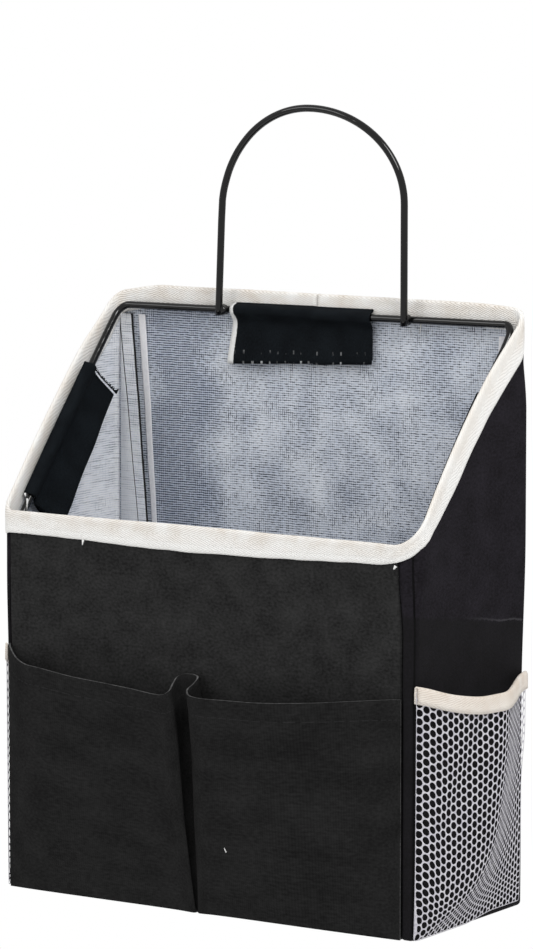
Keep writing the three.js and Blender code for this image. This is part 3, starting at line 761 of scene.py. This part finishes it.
def bend_rod(name, places, closed, finish):
    """A wire along a row of places, with round ends where it is not a closed loop."""
    line = bpy.data.curves.new(name, "CURVE")
    line.dimensions = "3D"
    line.bevel_depth = WIRE_RADIUS * MM
    line.bevel_resolution = 6
    line.use_fill_caps = not closed
    run = line.splines.new("POLY")
    run.points.add(len(places) - 1)
    for point, place in zip(run.points, places):
        point.co = (*at(*place), 1.0)
    run.use_cyclic_u = closed
    shape = link(name + "_line", line)
    data = bpy.data.meshes.new_from_object(shape.evaluated_get(bpy.context.evaluated_depsgraph_get()))
    bpy.data.objects.remove(shape)
    mesh = bmesh.new()
    mesh.from_mesh(data)
    bmesh.ops.remove_doubles(mesh, verts=mesh.verts, dist=1e-6)
    bmesh.ops.recalc_face_normals(mesh, faces=mesh.faces)
    return make_piece(name, mesh, [finish], flat_ends=True)


def loop_shift(x, y, z):
    """How far a place is off the loop's plane, which leans, sags at the right and tilts at the back."""
    sag = smooth(8 * y * (y + BAG_DEPTH) / -BAG_DEPTH ** 2) if x > 0 else 0.0
    back = smooth(1 + 2 * y / BAG_DEPTH)
    across = 2 * x / BAG_WIDTH
    spread = RIGHT_SPREAD * sag - (BACK_LEFT_SPREAD * back * across ** 4 if x < 0 else 0.0)
    lift = back * (BACK_TILT * across - BACK_DROP) - RIGHT_SAG * sag
    return Vector((rim_lean(x, y, z) + spread, 0, lift))


def bend_in(x, z):
    """A place across the arch, whose left half is bent in a little."""
    return x + read_off(ARCH_BEND, z) * max(0.0, -x / ARCH_HALF_WIDTH)


def loop_place(station):
    place, normal = plan(station, LOOP_RADII)
    place = place - normal * WIRE_INSET
    height = LOOP_BACK_HEIGHT + LOOP_SLOPE * (place.y + WIRE_INSET)
    place = Vector((*place, height))
    return place + loop_shift(*place)


loop_stations = stations(0.0, ROUND, 8.0, fine=(*CORNERS, ROUND), fine_step=0.7, reach=10.0)[:-1]
rim_loop = bend_rod("rim_loop", [loop_place(station) for station in loop_stations], True, gloss_coat)
fit(rim_loop, "bag", "rim_wire")

springing = LOOP_BACK_HEIGHT + ARCH_LEG
legs = [LOOP_BACK_HEIGHT - LEG_OVERHANG + LEG_STEP * i for i in range(18)]
legs = [z for z in legs if z < springing]
arch_path = [(-ARCH_HALF_WIDTH, z) for z in legs]
arch_path += [(-ARCH_HALF_WIDTH * cos(turn), springing + ARCH_RISE * sin(turn))
              for turn in even(0, pi, ARCH_STEPS)]
arch_path += [(ARCH_HALF_WIDTH, z) for z in reversed(legs)]
arch = bend_rod("arch", [(bend_in(x, z), ARCH_PLACE, z) for x, z in arch_path], False, gloss_coat)
fit(arch, "bag", "hanger_arch")

# A weld bead: its half width and half height, its waist between the two wires and its unevenness.
BEAD_WIDTH = 2.1
BEAD_HEIGHT = 2.9
BEAD_WAIST = 0.22
BEAD_SWELL = 0.12
for label, side, spread in (("left", -1, 4.0), ("right", 1, 2.4)):
    leg = side * ARCH_HALF_WIDTH
    bead_place = Vector((bend_in(leg, LOOP_BACK_HEIGHT), (ARCH_PLACE - WIRE_INSET) / 2,
                         LOOP_BACK_HEIGHT + loop_shift(leg, -WIRE_INSET, LOOP_BACK_HEIGHT).z))
    mesh = bmesh.new()
    bmesh.ops.create_uvsphere(mesh, u_segments=20, v_segments=14, radius=1.0)
    for vert in mesh.verts:
        x, y, z = vert.co
        waist = 1 - BEAD_WAIST * exp(-(y / 0.35) ** 2)
        width = spread if x > 0 else BEAD_WIDTH
        bead = Vector((x * width * waist, y * BEAD_HEIGHT, z * BEAD_HEIGHT * waist))
        bead += BEAD_SWELL * Vector((ripple(bead, 1.3, side), 0, ripple(bead, 1.3, 9.0 + side)))
        vert.co = at(*(bead + bead_place))
    fit(make_piece("weld_" + label, mesh, [gloss_coat]), "bag")

# ------------------------------
# The front pocket: one hemmed piece of canvas sewn at its sides and foot, with
# an open pleat near the middle, so that it stands off the front.
POCKET_THICKNESS = 0.8
POCKET_SWELL = 0.8
# The hem, how deep its seam sinks and how far it stands proud.
HEM_HEIGHT = 9.0
HEM_GROOVE = 0.3
HEM_LIFT = 0.25
POCKET_HEIGHT = 107.0
POCKET_LEFT = -102.4
POCKET_RIGHT = FRONT_RIGHT - WRAP - BAG_WIDTH / 2
# The mouth: place across, stand-off from the front, height, and stand-off at the foot.
MOUTH = [
    (POCKET_LEFT, 0.7, 108.6, 0.7), (-101.0, 2.2, 107.2, 0.8), (-96.5, 4.4, 103.4, 1.0),
    (-90.5, 6.4, 101.3, 1.2),
    (-80.0, 9.0, 100.7, 1.3), (-62.0, 10.6, 98.8, 1.3), (-46.0, 11.0, 97.7, 1.3), (-30.0, 11.0, 96.4, 1.3),
    (-18.5, 11.0, 95.3, 1.7), (-14.2, 10.8, 95.4, 2.3), (-11.8, 9.2, 97.0, 2.5), (-12.4, 5.0, 99.8, 1.7),
    (-12.0, 2.2, 102.3, 1.1), (-9.6, 1.2, 103.4, 1.0), (-7.0, 1.0, 103.7, 1.0), (-4.4, 1.2, 103.7, 1.0),
    (-1.9, 2.4, 103.0, 1.1), (-2.0, 5.6, 100.6, 1.7), (-2.4, 9.6, 98.6, 2.5), (-0.8, 11.4, 96.8, 2.4),
    (3.2, 11.5, 95.9, 1.8), (18.0, 11.2, 96.0, 1.3), (35.0, 10.8, 96.5, 1.3), (60.0, 8.6, 98.6, 1.3),
    (80.0, 5.2, 100.8, 1.1), (92.0, 2.5, 102.0, 0.9), (POCKET_RIGHT, 0.7, 102.4, 0.7),
]
LIPS = (10, 18)
LIP_HEIGHT = 97
# Where the two edges of the open pleat stand, by height.
LEFT_LIP = [(0, -4.0), (10, -4.8), (40, -7.4), (70, -8.7), (85, -10.2), (97, -12.2)]
RIGHT_LIP = [(0, -1.2), (10, -1.2), (40, -1.3), (70, -0.8), (97, -2.4)]


def through(places, share):
    """A point on a smooth curve through a row of places."""
    spans = len(places) - 1
    index = min(int(share * spans), spans - 1)
    t = share * spans - index
    p0, p1 = places[max(index - 1, 0)], places[index]
    p2, p3 = places[index + 1], places[min(index + 2, spans)]
    d0, d1, d2 = (max((b - a).length ** 0.5, 1e-4) for a, b in ((p0, p1), (p1, p2), (p2, p3)))
    m1 = (p2 - p1) if index == 0 else (p1 - p0) / d0 - (p2 - p0) / (d0 + d1) + (p2 - p1) / d1
    m2 = (p2 - p1) if index == spans - 1 else (p2 - p1) / d1 - (p3 - p1) / (d1 + d2) + (p3 - p2) / d2
    m1, m2 = (m1 * d1 if index else m1), (m2 * d1 if index < spans - 1 else m2)
    return ((2 * t ** 3 - 3 * t ** 2 + 1) * p1 + (t ** 3 - 2 * t ** 2 + t) * m1
            + (-2 * t ** 3 + 3 * t ** 2) * p2 + (t ** 3 - t ** 2) * m2)


def pocket_row(rise):
    """The pocket cloth at one level: it lies on the front at the foot and stands off at the mouth."""
    left, right = read_off(LEFT_LIP, rise * LIP_HEIGHT), read_off(RIGHT_LIP, rise * LIP_HEIGHT)
    mouth_left, mouth_right = MOUTH[LIPS[0]][0], MOUTH[LIPS[1]][0]
    tuck = 1 + 1.6 * (1 - rise)
    places = []
    for index, (x, out, height, foot_out) in enumerate(MOUTH):
        if index <= LIPS[0]:
            x = mix(POCKET_LEFT, left, (x - POCKET_LEFT) / (mouth_left - POCKET_LEFT))
        elif index >= LIPS[1]:
            x = mix(POCKET_RIGHT, right, (x - POCKET_RIGHT) / (mouth_right - POCKET_RIGHT))
        else:
            share = (x - mouth_left) / (mouth_right - mouth_left)
            x = mix(left, right, 0.5 + (share - 0.5) * tuck)
        places.append(Vector((x, -BAG_DEPTH - mix(foot_out, out, rise ** 0.85), 0.4 + rise * (height - 0.4))))
    return places


pocket_levels = [0.0, 0.01, 0.025] + [0.025 + 0.975 * i / 48 for i in range(1, 49)]
pocket_rows = {level: pocket_row(level) for level in pocket_levels}
mouth_length = sum((through(pocket_rows[1.0], (i + 1) / 400) - through(pocket_rows[1.0], i / 400)).length
                   for i in range(400))


def pocket_form(share, level):
    place = through(pocket_rows[level], share)
    calm = smooth(min(share, 1 - share) * 12) * smooth(level * 5)
    place.y += POCKET_SWELL * calm * ripple((place.x, 0, place.z * 0.5), 26, 6.0)
    seam = (1 - level) * POCKET_HEIGHT - HEM_HEIGHT
    place.y += calm * (HEM_GROOVE * exp(-(seam / 1.1) ** 2) - HEM_LIFT * smooth(-seam / 2))
    return place


pocket_canvas = woven_finish("pocket_canvas", "#131313", "#2f2f2f", hem_row=(POCKET_HEIGHT - HEM_HEIGHT) * MM)
# The pocket's rim faces take a lighter copy of the canvas: a painted highlight along the hem's folded edge.
hem_fold_highlight = woven_finish("hem_fold_highlight", "#2c2c2c", "#808080")
front_pocket = lay_cloth("front_pocket_cloth", even(0, 1, 8 * (len(MOUTH) - 1)), pocket_levels, pocket_form,
                         [pocket_canvas, hem_fold_highlight], thickness=POCKET_THICKNESS, side=0, rim=1,
                         grain=lambda share, level: (share * mouth_length, level * POCKET_HEIGHT))
fit(front_pocket, "bag", "front_pocket")
declare(mouth_length, ["front_cloth"])

# ------------------------------
# The net pockets: a white knitted net with hexagonal gaps that stand in
# columns, drawn out over a rounded ridge, and a folded cream band on its mouth.
NET_FRONT_EDGE = -0.3
NET_BACK_EDGE = 1.6
NET_LOW_BACK_EDGE = 4.6
NET_LENGTH = BAG_DEPTH - NET_FRONT_EDGE - NET_BACK_EDGE
NET_COLUMNS = 31
NET_ROWS = 29
NET_COLUMN = 3.03
NET_ROW = 3.5
NET_WIDTH = NET_COLUMNS * NET_COLUMN
NET_HEIGHT = NET_ROWS * NET_ROW
NET_STRAND = 0.43
NET_THICKNESS = 0.14
# The share of the net that is left when its gaps are taken off.
NET_CLOTH_SHARE = 0.5
# How far the net stands out at its mouth, by the distance from its front edge.
NET_SECTION = [(0, 0.9), (3, 3.3), (7, 5.8), (13, 8.5), (20, 10.3), (28, 12.2), (36, 14.4), (43, 16.0),
               (47, 16.2), (52, 15.0), (60, 11.8), (70, 7.6), (80, 3.6), (90, 0.9)]
NET_RIDGE = 0.53
# The stand-off where it is sewn down, the length of its section and how steeply the left one may rise.
NET_SEWN = 0.9
NET_RUN = 88
LEFT_NET_RISE = 0.42
# The share of the height over which it swings out, and a dent beside the ridge: place, slant and width.
SWING_OUT = 0.17
DENT_PLACE = 40
DENT_SLANT = 50
DENT_WIDTH = 6
# How far the cells hang lower behind the front seam, as a share of the height.
NET_PULL = 0.06
# Height of the net's mouth by the share of the way from the front edge to the back one.
NET_MOUTH = [(0, 108.9), (0.1, 105.1), (0.25, 101.9), (0.4, 100.2), (0.56, 100.6), (0.7, 101.4),
             (0.85, 102.4), (1, 102.6)]


def softened(table, value, reach):
    """A value from a table, with the corners between its straight runs rounded off."""
    return sum(read_off(table, value + step * reach) for step in (-1, -0.5, 0, 0.5, 1)) / 5


def net_mouth(share):
    return softened(NET_MOUTH, share, 0.06)


def net_out(share, rise, side=1):
    """How far the net stands out. Its ridge runs from the foot's front corner up to the mouth."""
    ridge = max(0.09, NET_RIDGE * (1 - exp(-rise / 0.2)) / (1 - exp(-5)))
    walked = share * NET_RUN
    skewed = clamp(share) ** (log(NET_RIDGE) / log(ridge)) * NET_RUN
    out = softened(NET_SECTION, skewed, 3) - NET_SEWN
    dent = exp(-((walked - DENT_PLACE + (1 - rise) * DENT_SLANT) / DENT_WIDTH) ** 2)
    dent *= smooth(rise * 3) * smooth(share * 6)
    out = max(0.0, out - dent) * (1 - exp(-rise / SWING_OUT))
    sewn = NET_SEWN * smooth(share / 0.05)
    if side < 0:
        out = min(out, LEFT_NET_RISE * walked)
        sewn = min(sewn, LEFT_NET_RISE * walked) - 0.6 * (1 - smooth(share / 0.1))
    return sewn - 0.3 + 0.35 * rise + out


NET_STEPS = 60
section_tables = {}


def net_share(walked, rise):
    """The share of the pocket's depth at which a share of the net's own length has been used up."""
    key = round(rise, 4)
    if key not in section_tables:
        shares = even(0, 1, NET_STEPS)
        lengths = lengths_along([(NET_LENGTH * share, net_out(share, rise)) for share in shares])
        section_tables[key] = [(length / lengths[-1], share) for length, share in zip(lengths, shares)]
    return read_off(section_tables[key], walked)


def net_place(share, rise, side):
    foot = 0.5 + 2.2 * smooth((share - 0.45) / 0.3)
    rise = clamp(rise)
    back_edge = mix(NET_LOW_BACK_EDGE, NET_BACK_EDGE, smooth((rise - 0.5) / 0.3))
    return (BAG_WIDTH / 2 + net_out(share, rise, side), mix(-BAG_DEPTH + NET_FRONT_EDGE, -back_edge, share),
            mix(foot, net_mouth(share) - 1.5, rise))


knitted_net, place = new_finish("knitted_net", by_threads=False)
yarn = place.noise(900.0)
dress(knitted_net, between(held(yarn * 2.0 - 0.5), "#b2afbc", "#e8e7ea"),
      roughness=0.6, specular=0.3, height=yarn, depth=0.0002)

band_tape = herringbone_finish("band_tape", "#f6efe6", "#e6d8ca", "#d8c8b6", 0.0085, 0.007)


def knit_net(name, side):
    """Cells in columns, each half a cell lower than the next column's, inset and with their gaps cut out."""
    mesh = bmesh.new()
    bmesh.ops.create_grid(mesh, x_segments=NET_COLUMNS, y_segments=2 * NET_ROWS, size=0.5)
    seams = []
    for edge in mesh.edges:
        a, b = (vert.co for vert in edge.verts)
        if abs(a.y - b.y) < 1e-6:
            column = floor((min(a.x, b.x) + 0.5 + 1e-6) * NET_COLUMNS)
            row = round((a.y + 0.5) * 2 * NET_ROWS)
            if (row + column) % 2 and 0 < row < 2 * NET_ROWS:
                seams.append(edge)
    bmesh.ops.dissolve_edges(mesh, edges=seams, use_verts=False)
    lean = 1 / 6 / NET_COLUMNS
    for vert in mesh.verts:
        column = round((vert.co.x + 0.5) * NET_COLUMNS)
        row = round((vert.co.y + 0.5) * 2 * NET_ROWS)
        if 0 < column < NET_COLUMNS and 0 < row < 2 * NET_ROWS:
            vert.co.x += -lean if (row + column) % 2 else lean
    for vert in mesh.verts:
        vert.co = Vector(((vert.co.x + 0.5) * NET_WIDTH, (vert.co.y + 0.5) * NET_HEIGHT, 0))
    gaps = bmesh.ops.inset_individual(mesh, faces=mesh.faces[:], thickness=NET_STRAND / 2, depth=0.0)
    rings = set(gaps["faces"])
    holes = [face for face in mesh.faces if face not in rings]
    bmesh.ops.delete(mesh, geom=holes, context="FACES")
    for vert in mesh.verts:
        rise = clamp(vert.co.y / NET_HEIGHT)
        rise -= NET_PULL * (1 - rise) * smooth(vert.co.x / 16) * smooth(rise / 0.25)
        x, y, z = net_place(net_share(vert.co.x / NET_WIDTH, rise), rise, side)
        vert.co = at(side * x, y, z)
    if side > 0:
        bmesh.ops.reverse_faces(mesh, faces=mesh.faces)
    bmesh.ops.recalc_face_normals(mesh, faces=mesh.faces)
    return make_piece(name, mesh, [knitted_net], thickness=NET_THICKNESS, side=0, levels=1)


BAND_FOLD = [
    (-0.9, 7.2), (-0.9, 5.0), (-0.9, 2.5), (-0.8, 0.8), (-0.45, 0.15), (0.0, 0.0), (0.45, 0.15), (0.8, 0.8),
    (0.9, 2.5), (0.9, 5.0), (0.9, 7.2),
]
BAND_STEPS = 60
BAND_LENGTH = 100
BAND_THICKNESS = 0.55
BAND_CURL = 0.5


def band_form(side):
    def form(share, fold):
        out, drop = BAND_FOLD[round(fold)]
        x, y, _ = net_place(share, 1.0, side)
        out *= 1.0 if side > 0 else mix(0.3, 1.0, smooth(share / 0.15))
        curl = BAND_CURL * ripple((share * BAG_DEPTH, drop, 0), 12, 3.0 + side)
        out += abs(curl) * (1 if out > 0 else -0.2)
        return side * (x + out), y, net_mouth(share) - drop + 0.3 * curl
    return form


band_lengths = lengths_along(BAND_FOLD)
for label, side in (("left", -1), ("right", 1)):
    net = knit_net("net_" + label, side)
    fit(net, "bag", "mesh_pocket_" + label)
    declare(NET_WIDTH, [label + "_cloth"],
            NET_WIDTH * NET_HEIGHT * NET_CLOTH_SHARE)
    band = lay_cloth("net_band_" + label, even(0, 1, BAND_STEPS), list(range(len(BAND_FOLD))),
                     band_form(side), [band_tape], thickness=BAND_THICKNESS, side=0, turn=side < 0,
                     grain=lambda share, fold: (share * BAND_LENGTH, band_lengths[round(fold)]))
    fit(band, "bag", "pocket_binding_" + label)
    declare(BAND_LENGTH, ["net_" + label])

# ------------------------------
# Hook-and-loop flaps: black strips sewn under the binding, wrapped over the
# wire and closed on mating strips sewn to the lining.
FLAP_LENGTH = 72.0
# The strip's width as it is worked, and as it was cut.
FLAP_CLOTH = 31.0
FLAP_THICKNESS = 0.8
FLAP_END = -20.5
# How far below the wire a strip starts to stand free, and over what length.
GRIP_END = 4.0
FREE_LENGTH = 17.0
PATCH_LENGTH = 70.0
PATCH_WIDTH = 11.0
PATCH_FOOT = -19.5
PATCH_THICKNESS = 0.9
SIDE_FLAP_OFFSET = 10.0
BACK_FLAP_OFFSET = -6.6


def hook_finish(name, white_end=None):
    """Black pile with white stitches along its free edge and, on one strip, a frayed white end."""
    finish, threads = new_finish(name)
    pile = threads.noise(1800.0, 4.0)
    shade = threads.noise(90.0) * 0.8 + pile * 0.7
    colour = between(held(shade - 0.45), "#080a0d", "#23292e")
    if white_end:
        patchy = held(threads.noise(310.0, 2.0) * 7.0 - 3.4)
        for row, length, amount in ((FLAP_CLOTH - 2.2, 0.7, 0.35), (FLAP_CLOTH - 0.2, 1.0, 0.8)):
            sewn = use(stitches, threads, row=row * MM, step=0.0041, length=length * MM, width=0.0007)["mask"]
            colour = between(sewn * patchy * amount, colour, "#d9dbdc")
        start, slant = white_end
        across, up, _ = threads.split()
        past = pile * 0.0006 + across - (up * -slant + start)
        colour = between(held(past * 5000.0 + 0.5), colour, "#f6f6f4")
    return dress(finish, colour, roughness=1.0, specular=0.1, height=pile, depth=0.0004)


hook_tape = hook_finish("hook_tape")
white_ended_tape = hook_finish("white_ended_tape", (0.0352, 0.058))
up_side = Vector((0, -LOOP_SLOPE, 1)).normalized()
along_side = Vector((0, 1, LOOP_SLOPE)).normalized()
side_height = LOOP_BACK_HEIGHT + LOOP_SLOPE * (WIRE_INSET - BAG_DEPTH / 2)
side_middle = Vector((BAG_WIDTH / 2 - WIRE_INSET, -BAG_DEPTH / 2, side_height))
side_middle -= SIDE_FLAP_OFFSET * along_side
X, Y, Z = Vector((1, 0, 0)), Vector((0, 1, 0)), Vector((0, 0, 1))
# Where each flap's middle bears on the wire, the way into the bag and the way up.
RUNS = {
    "back": (Vector((BACK_FLAP_OFFSET, -WIRE_INSET, LOOP_BACK_HEIGHT)), -Y, Z),
    "front": (Vector((0, -BAG_DEPTH + WIRE_INSET, LOOP_FRONT_HEIGHT)), Y, Z),
    "right": (side_middle, -X, up_side),
    "left": (side_middle * Vector((-1, 1, 1)), X, up_side),
}
# The flap in section about the wire: distance into the bag and height, from its seam to its free edge.
FLAP_SECTION = [
    (-1.75, 3.1), (-1.3, 2.6), (-0.1, 2.25), (1.15, 1.85), (1.95, 1.1), (2.15, 0.0), (1.9, -1.2), (1.1, -2.2),
    (0.2, -3.4), (-0.55, -4.9), (-0.65, -7.0), (-0.65, -11.0), (-0.65, -15.5), (-0.65, FLAP_END),
]
# How far the free edge stands off at the strip's two ends, and how far the back one hangs lower and spreads.
FLAP_LIFT = {"left": (2.0, 7.5), "right": (0.2, 0.2), "back": (0.6, 0.3), "front": (0.6, 0.6)}
FLAP_SLANT = {"back": 3.6}
FLAP_SPREAD = {"back": 2.8}


def flap_form(run):
    middle, inward, up = RUNS[run]
    along = inward.cross(up)
    section = [Vector((level, height, 0)) for level, height in FLAP_SECTION]

    def form(place, share):
        spot = through(section, share)
        free = smooth((-spot.y - GRIP_END) / FREE_LENGTH)
        lift = mix(*FLAP_LIFT[run], place / FLAP_LENGTH + 0.5)
        level = spot.x + lift * free ** 1.4 + 0.5 * free * ripple((place, spot.y, 0), 15, len(run))
        height = spot.y - free * FLAP_SLANT.get(run, 0.0) * (place / FLAP_LENGTH + 0.5)
        place += FLAP_SPREAD.get(run, 0.0) * free * smooth((place - FLAP_LENGTH / 4) / (FLAP_LENGTH / 4))
        place = middle + level * inward + height * up + place * along
        return place + loop_shift(*place)
    return form


def patch_form(run):
    middle, inward, up = RUNS[run]
    level = CLOTH_THICKNESS - WIRE_INSET + PATCH_THICKNESS / 2

    def form(place, height):
        place = middle + level * inward + height * up + place * inward.cross(up)
        return place + Vector((rim_lean(*place), 0, 0))
    return form


for run in RUNS:
    flap = lay_cloth("hook_flap_" + run, stations(-FLAP_LENGTH / 2, FLAP_LENGTH / 2, 1.5), even(0, 1, 40),
                     flap_form(run), [white_ended_tape if run == "back" else hook_tape],
                     thickness=FLAP_THICKNESS, side=0, grain=lambda place, share: (place, share * FLAP_CLOTH))
    fit(flap, run + "_flap", "flap_" + run)
    declare(FLAP_LENGTH, [])
    patch = lay_cloth("hook_patch_cloth_" + run, stations(-PATCH_LENGTH / 2, PATCH_LENGTH / 2, 2.0),
                      stations(PATCH_FOOT, PATCH_FOOT + PATCH_WIDTH, 1.5), patch_form(run), [hook_tape],
                      thickness=PATCH_THICKNESS, side=0)
    fit(patch, "bag", "hook_patch_" + run)
    declare(PATCH_LENGTH, [])

# ------------------------------
# Seam allowances in the back corners: the raw strip of the side cloth sewn
# down on the lining, and the back cloth's bare white edge beside it.
STRIP_TOP = 246.5
STRIP_FOOT = 6.0
HIDDEN_IN_SEAM = 7.5
SELVEDGE_CUT = 10.0
# How far the corner has sunk inwards, by height.
CORNER_DRIFT = [(0, 0), (60, 6), (140, 11.5), (250, 0)]

# The allowance takes the side lining's brighter painted-light colours, and the painted light and painted
# shade line of a raw edge.
allowance_cloth = coated_finish("allowance_cloth", *LIT_SIDE_LINING_COLOURS, 1.3, 0.0071, drawn_out=0.12)
white_selvedge, threads = new_finish("white_selvedge")
fray = threads.noise(700.0)
dress(white_selvedge, between(fray, "#e2e1e8", "#ffffff"),
      roughness=0.85, specular=0.1, height=fray, depth=0.0001)


def strip_form(side, start, stand_off):
    def form(across, height):
        drift = read_off(CORNER_DRIFT, height) * (1 - 0.03 * (start + across)) if across >= 0 else 0.0
        x = BAG_WIDTH / 2 - start - drift - across - 0.3 * ripple((across, height, 0), 18, side)
        x = min(x, BAG_WIDTH / 2 - 0.6)
        return side * x, -CLOTH_THICKNESS - stand_off - 0.25 * smooth(across / 3), height
    return form


for label, side, start, width, stand_off, faces in (
        ("allowance_left", -1, -0.5, 7.4, 0.75, [allowance_cloth, black_canvas]),
        ("selvedge_left", -1, 9.8, 4.0, 0.35, [white_selvedge, white_selvedge]),
        ("allowance_right", 1, 0.4, 7.4, 0.75, [allowance_cloth, black_canvas]),
        ("selvedge_right", 1, 8.6, 3.6, 0.35, [white_selvedge, white_selvedge])):
    raw = "allowance" in label
    strip = lay_cloth(label, ([-1.0] if raw else []) + even(0, width, 6),
                      stations(STRIP_FOOT, STRIP_TOP, 3.0), strip_form(side, start, stand_off), faces,
                      thickness=0.9 if raw else 0.35, side=0, rim=1, turn=side > 0,
                      grain=lambda across, height: (
                          across if across >= 0 else -read_off(CORNER_DRIFT, height), height))
    fit(strip, "bag")
    cut = width + (HIDDEN_IN_SEAM if raw else 0.0)
    declare(max(cut, SELVEDGE_CUT), ["back_cloth"],
            cut * (STRIP_TOP - STRIP_FOOT))

# ------------------------------
# Loose ends of sewing thread that stick out of the seams, and the black yarn
# that frays from the cut ends of the left flap.
THREAD_TAPER = 0.35
white_thread, place = new_finish("white_thread", by_threads=False)
dress(white_thread, between(place.noise(1500.0, 2.0), "#d8d8d4", "#ffffff"), roughness=0.8, specular=0.5)


def loose_ends(name, ends, finish, body):
    """Short tapered threads, each from its root along a way in millimetres."""
    mesh = bmesh.new()
    for root, way, radius in ends:
        way = Vector(way)
        turn = way.to_track_quat("Z", "Y").to_matrix().to_4x4()
        middle = at(*(Vector(root) + way / 2))
        bmesh.ops.create_cone(
            mesh, cap_ends=True, segments=6, radius1=radius * MM, radius2=THREAD_TAPER * radius * MM,
            depth=way.length * MM, matrix=Matrix.Translation(middle) @ turn)
    fit(make_piece(name, mesh, [finish], flat_ends=True), body)


loose_ends("thread_ends", [
    ((-62.2, -91.6, 157.2), (0.3, -1.0, -2.0), 0.55), ((96.3, -91.6, 158.4), (-0.6, -0.8, -1.3), 0.75),
    ((53.9, -2.6, 250.2), (-0.2, -0.5, -4.6), 0.4), ((-99.0, -81.6, 171.5), (-0.4, 0.2, -5.6), 0.45),
    ((-101.5, -79.9, 173.5), (0.6, -0.4, -1.4), 0.5), ((15.0, -96.4, 29.4), (-0.8, -0.4, 1.9), 0.3),
], white_thread, "bag")
middle, inward, up = RUNS["left"]
along = inward.cross(up)
frays = []
# The strip's lower end and its upper one: threads, their crowding at the free edge, and how far each strays.
for end, count, crowding, seed, scatter, low, spread, burst, radius in (
        (0, 60, 1.5, 3.0, 0.3, 0.6, 1.6, 0.6, 0.25), (1, 40, 1.3, 9.0, 0.4, 0.5, 1.8, 1.6, 0.22)):
    outwards = along if end else -along
    for i in range(count):
        wander = noise.cell_vector(Vector((i, seed, 5.0)))
        share = 1 - (i / count) ** crowding
        drop = mix(-2, FLAP_END, share)
        lift = FLAP_LIFT["left"][end] * smooth((-drop - GRIP_END) / FREE_LENGTH) ** 1.4 - 0.65
        root = middle + (lift + wander.z * scatter) * inward + drop * up + (FLAP_LENGTH / 2 - 0.6) * outwards
        reach = 0.8 + (burst + (0.0 if end else 1.6 * share ** 8)) * wander.x
        frays.append((root, reach * outwards + (wander.y - low) * spread * up, radius))
loose_ends("flap_frays", frays, hook_tape, "left_flap")

# ------------------------------
# The room: a pale floor below the bag that fades into the white around it,
# lit by the white surroundings and by two large round lamps.
FLOOR_DROP = 0.30
FLOOR_RADIUS = 0.9
FLOOR_GREY = (0.86, 0.86, 0.86, 1.0)
BLACK = (0.0, 0.0, 0.0, 1.0)
WHITE = (1.0, 1.0, 1.0, 1.0)
FADE_START = 0.3
FADE_LENGTH = 0.55
WORLD_LIGHT = 0.6

mesh = bmesh.new()
bmesh.ops.create_circle(mesh, cap_ends=True, segments=96, radius=FLOOR_RADIUS)
bmesh.ops.translate(mesh, verts=mesh.verts, vec=(0, 0, FOOT_PLACE - FLOOR_DROP))
pale_floor, place = new_finish("pale_floor", by_threads=False)
outwards = place.stretched(1.0, 1.0, 0.0).vector("LENGTH")
fading = held((outwards - FADE_START) / FADE_LENGTH)
dress(pale_floor, between(fading, FLOOR_GREY, BLACK), roughness=0.9, specular=0.0)
glow = pale_floor.node_tree.nodes["Principled BSDF"].inputs
set_input(pale_floor.node_tree, glow["Emission Color"], between(fading, BLACK, WHITE))
glow["Emission Strength"].default_value = 1.0
make_piece("floor", mesh, [pale_floor], flat_ends=True)

world = bpy.data.worlds.new("studio")
bpy.context.scene.world = world
world.use_nodes = True
tree = world.node_tree
seen = add(tree, "ShaderNodeLightPath").outputs["Is Camera Ray"]
ambient = add(tree, "ShaderNodeBackground", {"Color": WHITE, "Strength": WORLD_LIGHT})
white = add(tree, "ShaderNodeBackground", {"Color": WHITE, "Strength": 1.0})
shown = add(tree, "ShaderNodeMixShader", {0: seen, 1: ambient.outputs[0], 2: white.outputs[0]})
tree.links.new(shown.outputs[0], tree.nodes["World Output"].inputs["Surface"])


def hang_lamp(name, turn, rise, distance, size, power):
    lamp = bpy.data.lights.new(name, "AREA")
    lamp.shape = "DISK"
    lamp.size = size
    lamp.energy = power
    aim(link(name, lamp), radians(turn), radians(rise), distance)


hang_lamp("key", turn=62, rise=48, distance=1.8, size=0.8, power=15.0)
hang_lamp("fill", turn=-35, rise=30, distance=2.0, size=0.9, power=6.0)
